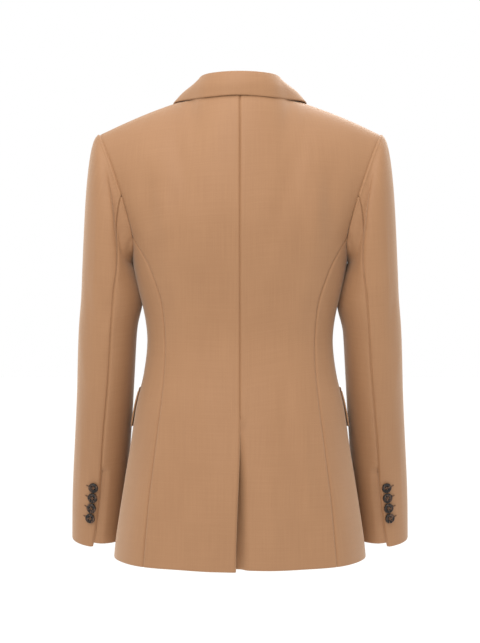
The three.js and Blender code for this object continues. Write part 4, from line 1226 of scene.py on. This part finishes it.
@dataclass(frozen=True)
class ThreadFinish:
    """Twisted sewing thread."""

    name: str = "sewing_thread"
    light: tuple = (0.17, 0.08, 0.035, 1)
    dark: tuple = (0.09, 0.04, 0.018, 1)
    twist: tuple = (9000.0, 14000.0)  # radians of the plies' wave in a metre, across and up
    roughness: tuple = (0.6, 0.1)  # between the plies, and how much more on them
    bump: tuple = (0.0001, 0.4)  # distance and strength

    def material(self) -> bpy.types.Material:
        """The thread's material: fine slanting plies.

        Returns:
            The material.
        """
        shader = Shader(self.name)
        place = shader.node("ShaderNodeTexCoord", {}, {}, "Object")
        x, _, z = shader.split(place)
        plies = (x * self.twist[0] + z * self.twist[1]).sine() * 0.5 + 0.5
        base = shader.mix(plies, self.dark, self.light)
        normal = shader.bump(plies, *self.bump)
        rough = plies * self.roughness[1] + self.roughness[0]
        return shader.finish({"Base Color": base, "Roughness": rough, "Normal": normal})


# ---- Buttons --------------------------------------------------------------------------------------


@dataclass(frozen=True)
class Seat:
    """Where a button sits: the middle of its back, the way that it faces and a way up its face."""

    base: Array
    normal: Array
    up: Array

    def at(self, a: Array, b: Array, h: Array) -> Array:
        """Points a across the face, b up it and h out from the middle of the back."""
        side = np.cross(self.up, self.normal)
        return self.base + a[..., None] * side + b[..., None] * self.up + h[..., None] * self.normal


@dataclass
class Button:
    """A round horn button with a raised rim and four holes, sewn on with a cross of thread."""

    radius: float
    height: float
    places: int = 64  # points round it
    middle_rows: int = 16  # rings of the dished middle, where the holes are
    hole_place: float = 0.24  # of the radius
    hole_radius: float = 0.1
    hole_depth: float = 0.62  # of the height
    hole_slope: tuple = (0.05, 1.5)  # from its floor, in millimetres, to its rim, in hole radii
    strand_points: int = 13
    strand_offset: float = 0.09  # of the radius, from the middle of a pair
    strand_radius: float = 0.05  # of the radius
    strand_arch: tuple = (0.25, 0.62, 0.92, 6)  # of the height

    def profile(self) -> tuple[Array, Array]:
        """Radius and height from the middle of the back, round the edge, to the middle of the face."""
        back = [(0, 0), (0.4, 0), (0.7, 0.02), (0.86, 0.12), (0.97, 0.34), (1, 0.55), (0.985, 0.78)]
        face = [(0.94, 0.94), (0.88, 1), (0.8, 0.97), (0.72, 0.84), (0.62, 0.71), (0.52, 0.66)]
        middle = [(share, 0.64) for share in np.linspace(0.46, 0, self.middle_rows)]
        table = np.array(back + face + middle)
        return table[:, 0] * self.radius, table[:, 1] * self.height

    def mesh(self, name: str, seat: Seat) -> Object:
        """The button: its profile carried round the axis, with a well in the face at each hole.

        Args:
            name: the object's name.
            seat: where it sits.

        Returns:
            The object.
        """
        radius, height = self.profile()
        turn = np.linspace(0, 2 * np.pi, self.places, endpoint=False)
        a = radius[1:-1, None] * np.cos(turn)
        b = radius[1:-1, None] * np.sin(turn)
        h = np.broadcast_to(height[1:-1, None], a.shape).copy()
        dished = np.arange(len(radius))[1:-1, None] >= len(radius) - self.middle_rows - 1
        place = self.hole_place * self.radius
        floor, rim = self.hole_slope
        for sx in (-1, 1):
            for sy in (-1, 1):
                off = np.hypot(a - sx * place, b - sy * place)
                well = 1 - smoothstep(off, floor, self.hole_radius * self.radius * rim)
                h -= dished * self.hole_depth * self.height * well
        poles = np.stack([seat.base, seat.base + seat.normal * height[-1]])
        vertices = np.concatenate([seat.at(a, b, h).reshape(-1, 3), poles]) * MM
        return mesh_object(name, vertices, tube_faces(*a.shape))

    def stitches(self, name: str, seat: Seat) -> Object:
        """Two crossed pairs of strands over the holes: low arches of thread.

        Args:
            name: the object's name.
            seat: where the button sits.

        Returns:
            The object.
        """
        reach = self.hole_place * self.radius
        t = np.linspace(-1, 1, self.strand_points)
        h = self.height * arch(t, *self.strand_arch)
        strands = []
        for sign in (-1, 1):
            for offset in (-self.strand_offset, self.strand_offset):
                a = t * reach + offset * self.radius * sign
                b = t * reach * sign - offset * self.radius
                strands.append(seat.at(a, b, h))
        return thread_object(name, strands, self.strand_radius * self.radius)


def thread_object(name: str, lines: list[Array], radius: float, sides: int = 8) -> Object:
    """Round threads: a circle carried along each line, closed with a point at both ends.

    Args:
        name: the object's name.
        lines: the threads' middle lines, in millimetres.
        radius: of the threads.
        sides: how many faces go round.

    Returns:
        The object.
    """
    vertices: list[Array] = []
    faces: list[list[int]] = []
    total = 0
    turn = np.linspace(0, 2 * np.pi, sides, endpoint=False)
    reach, power, least = THREAD_TAPER
    for line in lines:
        tangent = unit(np.gradient(line, axis=0))
        across = unit(np.cross(tangent, np.array(THREAD_SIDE)))
        over = np.cross(tangent, across)
        section = np.clip(1 - np.linspace(-reach, reach, len(line)) ** power, least, 1)
        circle = np.cos(turn)[None, :, None] * across[:, None] + np.sin(turn)[None, :, None] * over[:, None]
        tube = line[:, None] + circle * (radius * np.sqrt(section))[:, None, None]
        faces += tube_faces(len(line), sides, total)
        vertices += [tube.reshape(-1, 3), line[:1] - tangent[:1] * radius, line[-1:] + tangent[-1:] * radius]
        total += len(line) * sides + 2
    return mesh_object(name, np.concatenate(vertices) * MM, faces)


@dataclass(frozen=True)
class Buttonhole:
    """A purled buttonhole: short threads side by side across its line."""

    threads: int = 15
    thread_points: int = 7
    thread_sides: int = 6
    thread_radius: float = 0.24
    half_width: float = 0.85
    arch: tuple = (0.25, 0.35, 0.9, 2)

    def mesh(self, name: str, surface: Surface, start: tuple, end: tuple, facing: int) -> Object:
        """The threads of a buttonhole on the cloth.

        Args:
            name: the piece's name.
            surface: the cloth.
            start: the two parameters of one end.
            end: those of the other end.
            facing: the side of the surface that is seen.

        Returns:
            The object.
        """
        share = np.linspace(0, 1, self.threads)
        a, b = lerp(start[0], end[0], share), lerp(start[1], end[1], share)
        middle = surface(a, b)
        normal = normals_of(surface, a, b, facing)
        over = np.cross(normal, unit(np.gradient(middle, axis=0)))
        t = np.linspace(-1, 1, self.thread_points)[:, None]
        height = arch(t, *self.arch)
        sets = zip(middle, over, normal)
        lines = [point + t * self.half_width * across + height * out for point, across, out in sets]
        return thread_object(name, lines, self.thread_radius, self.thread_sides)


# ---- The garment ----------------------------------------------------------------------------------


@dataclass
class Blazer:
    """All the pieces of the blazer and their finishes."""

    body: BodyForm = field(default_factory=BodyForm)
    pitch: float = 3.2  # of the cloth's grid
    cuff_button: Button = field(default_factory=lambda: Button(7.4, 3))
    front_button: Button = field(default_factory=lambda: Button(10.5, 3.6))
    cuff_button_z: tuple = (-551, -566.3, -581.6, -596.9)
    cuff_button_inset: float = 13.5
    cuff_hole_angles: tuple = (9.5, 6.5)  # from the button's middle to its start, and its length
    cuff_hole_rise: tuple = (0.5, 2)  # of its two ends over the button's middle
    cuff_button_turn: tuple = (0.35, 2.3)  # how far each button is turned, and the step between turns
    front_button_up: tuple = (0.12, 0.0, 1.0)
    front_button_angle: float = 180
    front_hole_angles: tuple = (184.5, 189.0)
    hole: Buttonhole = Buttonhole()
    button_gap: float = 0.5
    flap_angles: tuple = (84, 146)
    flap_top: float = -419
    flap_height: float = 51
    flap_corner: float = 14
    flap_corner_share: float = 0.09
    flap_gap: tuple = (0.9, 2)  # at its top and at its lower edge
    flap_swell: float = 0.7
    jet: tuple = (5, 1.2, 0.6)  # height, cloth and gap
    jet_swell: float = 0.35
    body_waves: tuple = ((17, 61, 1), (29, -83, 0), (90, 37, 0))
    body_uneven: float = 0.16
    seam_quiet: tuple = (8, 18, 0.6)  # lower waves by the centre back: whole to, none past, share
    sleeve_waves: tuple = ((23, 57, 0), (-60, 31, 0))
    sleeve_uneven: float = 0.18
    sleeve_lag: tuple = (4, 12)  # how far the right sleeve's creases are shifted, round and down it
    upper_half: tuple = (0.2, 0.34)  # shares round the cap between which roping and ease end
    rope: tuple = (1.1, 1.95, 0.045)  # height, place and width
    ease: tuple = (0.28, 1.9, 0.07, 190)  # height, place, width and radians of its wave round the cap
    collar_fall: tuple = (0.66, 0.8)  # where its fall begins, round the fold
    collar_roll: tuple = ((0.35, 9, 0.7), (0.2, 21, 0))  # height, radians along half of it and phase
    # Lengths that set how many grid lines there are: across and up, or below and above chest or bicep.
    body_heights: tuple = (467, 215)
    sleeve_heights: tuple = (420, 165)
    sleeve_widths: tuple = (205, 150)
    back_width: float = 150
    side_size: tuple = (95, 450)
    front_width: float = 170
    lapel_size: tuple = (110, 300)
    collar_size: tuple = (190, 105)
    fine_pitch: float = 2.4  # of the lapel and the flap
    collar_pitch: tuple = (2.6, 1.9)
    jet_pitch: float = 0.8
    sleeve_lap: float = 0.45
    sleeve_pinch: float = 0.04
    back_creases: tuple = creases(
        (98, -45, 64, -165, 15, -2.2), (132, -95, 129, -200, 13, -4.0),
        (108, -130, 104, -215, 10, 1.9), (84, -120, 92, -235, 12, -1.9),
        (36, -170, 30, -260, 16, -1.3), (96, -250, 84, -345, 12, 1.5),
        (70, -235, 60, -330, 12, -1.5), (66, -395, 70, -500, 12, -2.3),
        (46, -520, 52, -650, 12, -1.7), (22, -480, 26, -640, 12, 1.7),
    )
    right_creases: tuple = creases(
        (88, -45, 46, -215, 15, -2.6), (128, -90, 133, -205, 13, -4.0),
        (104, -125, 110, -230, 12, 2.1), (80, -110, 88, -240, 13, -1.9),
        (44, -160, 52, -290, 13, 1.3), (30, -190, 62, -300, 12, -1.3),
        (92, -245, 80, -340, 12, 1.3), (62, -400, 66, -510, 12, -2.5),
        (88, -450, 98, -600, 10, 1.7), (40, -540, 48, -650, 12, 1.5),
    )
    sleeve_creases: tuple = creases(
        (180, -222, 180, -310, 42, 3.6), (48, -140, 70, -290, 3, 0.8),
        (95, -150, 92, -235, 14, -0.5), (70, -120, 74, -260, 14, 0.4),
        (40, -250, 74, -330, 10, -0.8), (120, -260, 84, -345, 9, -0.9),
        (120, -300, 88, -400, 9, 0.7), (30, -330, 80, -440, 12, 0.6), (86, -430, 80, -540, 9, -0.7),
        (55, -470, 62, -600, 10, 0.6), (320, -150, 300, -260, 12, -0.9),
        (285, -250, 330, -350, 12, -0.8), (250, -300, 290, -390, 10, -0.8),
        (270, -360, 320, -470, 12, 0.7),
    )
    side_creases: tuple = creases((152, -222, 150, -305, 30, 1.6))
    front_creases: tuple = creases(
        (128, -110, 134, -215, 10, -1.4), (112, -215, 84, -300, 10, -0.8),
        (96, -260, 40, -338, 11, -1.1), (80, -300, 34, -352, 8, 0.8), (84, -400, 36, -352, 9, -0.9),
        (70, -450, 76, -600, 11, 0.9), (46, -480, 50, -640, 11, -0.9),
    )

    def soft(self, folds: tuple, side: Side) -> Relief:
        """The relief of a body piece: its creases in x and z, and slow unevenness.

        Args:
            folds: troughs and ridges, described on the left side.
            side: the piece's side, so that x is measured on it.

        Returns:
            The relief as a function of the grid.
        """

        def relief(grid: Array, _u: Array, _v: Array) -> Array:
            """Sum of the creases and the slow waves."""
            x, z = grid[..., 0] * side.value, grid[..., 2]
            height = sum(crease.relief(x, z) for crease in folds)
            near, far, share = self.seam_quiet
            quiet = fade(np.abs(x), near, far) * share
            return height + self.body_uneven * waves(x, z, self.body_waves, side.value) * (1 - quiet)

        return relief

    def sleeve_relief(self, sleeve: SleeveForm) -> Relief:
        """The relief of a sleeve: creases in angle and height, a roped head and slow unevenness.

        Args:
            sleeve: the sleeve.

        Returns:
            The relief as a function of the grid and the parameters.
        """

        def relief(grid: Array, u: Array, v: Array) -> Array:
            """Sum of the creases, a ridge below the armhole seam and slow waves."""
            angle = sleeve.cap("angle", (u + 1) % 1)
            z = grid[..., 2]
            turned, lowered = (lag * (sleeve.side is Side.RIGHT) for lag in self.sleeve_lag)
            height = sum(crease.relief(angle + turned, z + lowered) for crease in self.sleeve_creases)
            upper = fade(np.abs((u + 0.5) % 1 - 0.5), *self.upper_half)
            size, place, width = self.rope
            rope = size * bell(v - place, width) * upper
            size, place, width, turns = self.ease
            ease = size * np.sin((u % 1) * turns) * bell(v - place, width) * upper
            return height + rope + ease + self.sleeve_uneven * waves(angle, z, self.sleeve_waves)

        return relief

    def cloth_pieces(self, side: Side) -> list[ClothPiece]:
        """The cloth pieces of one side.

        Args:
            side: the wearer's side.

        Returns:
            The pieces, not yet built.
        """
        body, word, pitch = self.body, side.word, self.pitch
        lapel = LapelForm(body, side)
        sleeve = SleeveForm(body, side)
        body_vs = two_stages(self.body_heights, pitch)
        sleeve_vs = two_stages(self.sleeve_heights, pitch)
        folds = self.back_creases if side is Side.LEFT else self.right_creases
        seam = {"u0": Edge.SEAM, "u1": Edge.SEAM, "v0": Edge.FOLD, "v1": Edge.SEAM}
        free = {"u0": Edge.FOLD, "u1": Edge.FOLD, "v0": Edge.FOLD}

        def panel(part: str, surface: Surface, us: Array, vs: Array, **more: object) -> ClothPiece:
            """A cloth piece of this side."""
            more.setdefault("facing", -side.value)
            return ClothPiece(f"cloth_{part}_{word}", f"{part}_{word}", surface, us, vs, side=side, **more)

        top_width, under_width = self.sleeve_widths
        top_us = lerp(sleeve.front_seam_at - 1, sleeve.elbow_at, stations(top_width, pitch))
        under_us = lerp(sleeve.elbow_at, sleeve.front_seam_at, stations(under_width, pitch))
        tube = {
            "facing": side.value,
            "edges": {**seam, "v1": Edge.TUCKED},
            "relief": self.sleeve_relief(sleeve),
            "lap": self.sleeve_lap,
            "pinch": self.sleeve_pinch,
        }
        flap_us = stations(self.front_width, pitch)
        flap_vs = stations(self.flap_height, self.fine_pitch)
        height, cloth, _ = self.jet
        jet_vs = stations(height, self.jet_pitch, False, False)
        jet = panel("pocket_jet", self.jet_surface, flap_us, jet_vs, thickness=cloth, rim=0.4)
        return [
            panel(
                "back",
                lambda u, v: body.back(u, v, side),
                stations(self.back_width, pitch),
                body_vs,
                edges=seam,
                relief=self.soft(folds, side),
                grain=None,
                armhole="u1",
            ),
            panel(
                "side",
                body.side_panel,
                *(stations(length, pitch) for length in self.side_size),
                edges={**seam, "v1": Edge.JOINED},
                relief=self.soft(self.side_creases, side),
            ),
            panel(
                "front",
                lambda u, v: body.front(u, v, side),
                stations(self.front_width, pitch),
                body_vs,
                edges={**seam, "u1": Edge.FOLD},
                relief=self.soft(self.front_creases, side),
                armhole="u0",
            ),
            panel(
                "lapel",
                lapel.surface,
                stations(self.lapel_size[0], self.fine_pitch),
                stations(self.lapel_size[1], pitch),
                facing=side.value,
                thickness=lapel.cloth,
                edges={"u1": Edge.FOLD, "v1": Edge.JOINED},
                grain=1.0,
            ),
            panel("top_sleeve", sleeve.top_surface, top_us, sleeve_vs, **tube),
            panel("under_sleeve", sleeve.under_surface, under_us, sleeve_vs, **tube),
            panel("pocket_flap", self.flap, flap_us, flap_vs, edges=free, trim=jet),
        ]

    def flap(self, u: Array, v: Array) -> Array:
        """The pocket flap's face: a band of the body's rings with rounded lower corners."""
        from_end = np.minimum(u, 1 - u) / self.flap_corner_share
        cut = 1 - np.sqrt(1 - (1 - np.clip(from_end, 0, 1)) ** 2)
        bottom = self.flap_top - self.flap_height + self.flap_corner * cut
        z = lerp(bottom, self.flap_top, v)
        gap = lerp(self.flap_gap[1], self.flap_gap[0], v)
        out = gap + self.body.cloth + self.flap_swell * arc(v) * arc(u)
        return self.body.ring(lerp(*self.flap_angles, u), z, out)

    def jet_surface(self, u: Array, v: Array) -> Array:
        """The jet above the flap: a narrow band of the body's rings."""
        height, cloth, gap = self.jet
        z = self.flap_top + gap + height * v
        return self.body.ring(lerp(*self.flap_angles, u), z, gap + cloth + self.jet_swell * arc(v))

    def collar(self) -> ClothPiece:
        """The collar, with its fold and its pressed fall edge."""
        lapel = LapelForm(self.body, Side.LEFT)
        form = CollarForm(self.body, lapel)
        half = stations(self.collar_size[0], self.collar_pitch[0], low=False)
        us = np.unique(np.concatenate([-half, half]))
        vs = stations(self.collar_size[1], self.collar_pitch[1])

        def relief(_grid: Array, u: Array, v: Array) -> Array:
            """A gentle roll along the fall, uneven from side to side."""
            roll = sum(height * np.sin(u * turns + phase) for height, turns, phase in self.collar_roll)
            return smoothstep(v, *self.collar_fall) * roll

        return ClothPiece(
            "cloth_collar",
            "collar",
            form.surface,
            us,
            vs,
            1,
            thickness=form.cloth,
            edges={"u0": Edge.JOINED, "u1": Edge.JOINED, "v1": Edge.FOLD},
            relief=relief,
            crosswise=True,
        )

    def seat(self, surface: Surface, place: tuple, facing: int, up: tuple) -> Seat:
        """Where a button sits on a surface: a gap off it, with `up` laid into its plane."""
        normal = normals_of(surface, *place, facing)
        across = unit(up - normal * np.dot(up, normal))
        return Seat(surface(*place) + normal * self.button_gap, normal, across)

    def button(self, name: str, node: str, size: Button, seat: Seat) -> tuple[Object, Object]:
        """A button and its thread.

        Args:
            name: the button's name without its first word.
            node: the solid that it stands for.
            size: the button.
            seat: where it sits.

        Returns:
            The horn piece and the thread piece.
        """
        horn = size.mesh(f"horn_{name}", seat)
        thread = size.stitches(f"thread_{name}", seat)
        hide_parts(node)
        for piece in (horn, thread):
            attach(piece, "root")
        return horn, thread

    def buttonhole(self, name: str, surface: Surface, ends: tuple, facing: int) -> Object:
        """A buttonhole on a surface, from the two parameters of its ends."""
        obj = self.hole.mesh(name, surface, *ends, facing)
        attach(obj, "root")
        return obj

    def build_buttons(self) -> tuple[list[Object], list[Object]]:
        """The buttons of both cuffs and of the front, with their buttonholes.

        Returns:
            The horn pieces and the thread pieces.
        """
        buttons, holes = [], []
        gap, length = self.cuff_hole_angles
        first_rise, last_rise = self.cuff_hole_rise
        turn, step = self.cuff_button_turn
        for side in Side:
            sleeve = SleeveForm(self.body, side)

            def cuff(a: Array, z: Array) -> Array:
                """The sleeve's rings on this side."""
                point = sleeve.ring(np.asarray(a, float), np.asarray(z, float))
                return point * np.array([side.value, 1, 1])

            for i, z in enumerate(self.cuff_button_z, 1):
                name = f"{side.word}_{i}"
                place = (np.float64(sleeve.elbow_seam("angle", z) - self.cuff_button_inset), np.float64(z))
                seat = self.seat(cuff, place, side.value, (turn * math.sin(step * i + side.value), 0, 1.0))
                buttons.append(self.button(f"cuff_{name}", f"cuff_button_{name}", self.cuff_button, seat))
                start = place[0] - gap
                ends = ((start, z + first_rise), (start - length, z + last_rise))
                holes.append(self.buttonhole(f"buttonhole_{name}", cuff, ends, side.value))
        body, z = self.body, np.float64(self.body.button_z)

        def front(a: Array, h: Array) -> Array:
            """The right front where the button lies."""
            return body.ring(a, h, body.lap_lift(0, float(z), Side.RIGHT))

        place = (np.float64(self.front_button_angle), z)
        seat = self.seat(front, place, -1, self.front_button_up)
        buttons.append(self.button("front", "front_button", self.front_button, seat))
        first, last = self.front_hole_angles
        holes.append(self.buttonhole("buttonhole_front", front, ((first, z), (last, z)), -1))
        horn, thread = zip(*buttons)
        return list(horn), [*thread, *holes]

    def build(self) -> None:
        """Builds and dresses every piece."""
        wool = WoolFinish().material()
        dark_horn = HornFinish().material()
        sewing = ThreadFinish().material()
        cloth = [piece for side in Side for piece in self.cloth_pieces(side)] + [self.collar()]
        for piece in cloth:
            parts = [made.build() for made in (piece, piece.trim) if made is not None]
            piece.declare(parts[0], parts[1:])
            for obj in parts:
                obj.data.materials.append(wool)
                LOG.info("%s: %d faces", obj.name, len(obj.data.polygons))
        horn, thread = self.build_buttons()
        for obj in horn:
            obj.data.materials.append(dark_horn)
        for obj in thread:
            obj.data.materials.append(sewing)
        LOG.info("%d buttons, %d thread pieces", len(horn), len(thread))


# ---- Studio ---------------------------------------------------------------------------------------


@dataclass(frozen=True)
class Light:
    """A square soft light, in metres and watts."""

    name: str
    place: tuple
    aim: tuple
    size: float
    power: float

    def build(self) -> None:
        """Places the light, turned to its aim."""
        data = bpy.data.lights.new(self.name, "AREA")
        data.size = self.size
        data.energy = self.power
        obj = placed(self.name, data)
        obj.location = self.place
        way = Vector(self.aim) - Vector(self.place)
        obj.rotation_euler = way.to_track_quat("-Z", "Y").to_euler()


@dataclass
class Studio:
    """A pale floor, soft lights and the camera behind the garment."""

    camera_distance: float = 2.6
    camera_height: float = -0.318
    camera_reach: float = 100
    sensor: float = 36
    frame_width: float = 0.6984  # what the camera sees across at the origin
    floor_z: float = -1.35
    floor_half: float = 30.0
    floor_colour: tuple = (0.9, 0.9, 0.89, 1)
    floor_roughness: float = 0.9
    floor_glow: float = 0.16
    white: tuple = (1, 1, 1, 1)
    world_strength: float = 1.0
    lights: tuple = (
        Light("key", (0.55, 1.7, 1.3), (0, 0, -0.15), 0.8, 26),
        Light("top", (0, 0.45, 1.6), (0, 0, 0), 1.0, 14),
        Light("front_fill", (-0.6, -1.5, 1.0), (0, 0, -0.2), 1.2, 24),
    )

    def camera(self) -> None:
        """Looks level along -Y at the back."""
        data = bpy.data.cameras.new("camera")
        data.sensor_fit = "HORIZONTAL"
        data.sensor_width = self.sensor
        data.lens = self.sensor * self.camera_distance / self.frame_width
        data.clip_end = self.camera_reach
        obj = placed("camera", data)
        obj.location = (0, self.camera_distance, self.camera_height)
        obj.rotation_euler = (math.pi / 2, 0, math.pi)
        bpy.context.scene.camera = obj

    def floor(self) -> None:
        """A wide pale floor that fades into the pale surroundings."""
        corners = self.floor_half * np.array([(-1, -1, 0), (1, -1, 0), (1, 1, 0), (-1, 1, 0)])
        corners[:, 2] = self.floor_z
        obj = mesh_object("studio_floor", corners, [[0, 1, 2, 3]])
        shader = Shader("pale_floor")
        values = {
            "Base Color": self.floor_colour,
            "Roughness": self.floor_roughness,
            "Emission Color": self.white,
            "Emission Strength": self.floor_glow,
        }
        obj.data.materials.append(shader.finish(values))

    def surroundings(self) -> None:
        """An even pale world."""
        world = bpy.data.worlds.new("studio")
        world.use_nodes = True
        background = world.node_tree.nodes["Background"]
        background.inputs["Color"].default_value = self.white
        background.inputs["Strength"].default_value = self.world_strength
        bpy.context.scene.world = world

    def build(self) -> None:
        """Sets up the whole studio, with plain display colours so that white stays white."""
        bpy.context.scene.view_settings.view_transform = "Standard"
        self.camera()
        self.surroundings()
        self.floor()
        for light in self.lights:
            light.build()


def main() -> None:
    """Builds the studio, then the blazer."""
    logging.basicConfig(level=logging.INFO, format="%(name)s: %(message)s")
    Studio().build()
    Blazer().build()


if __name__ == "__main__":
    main()
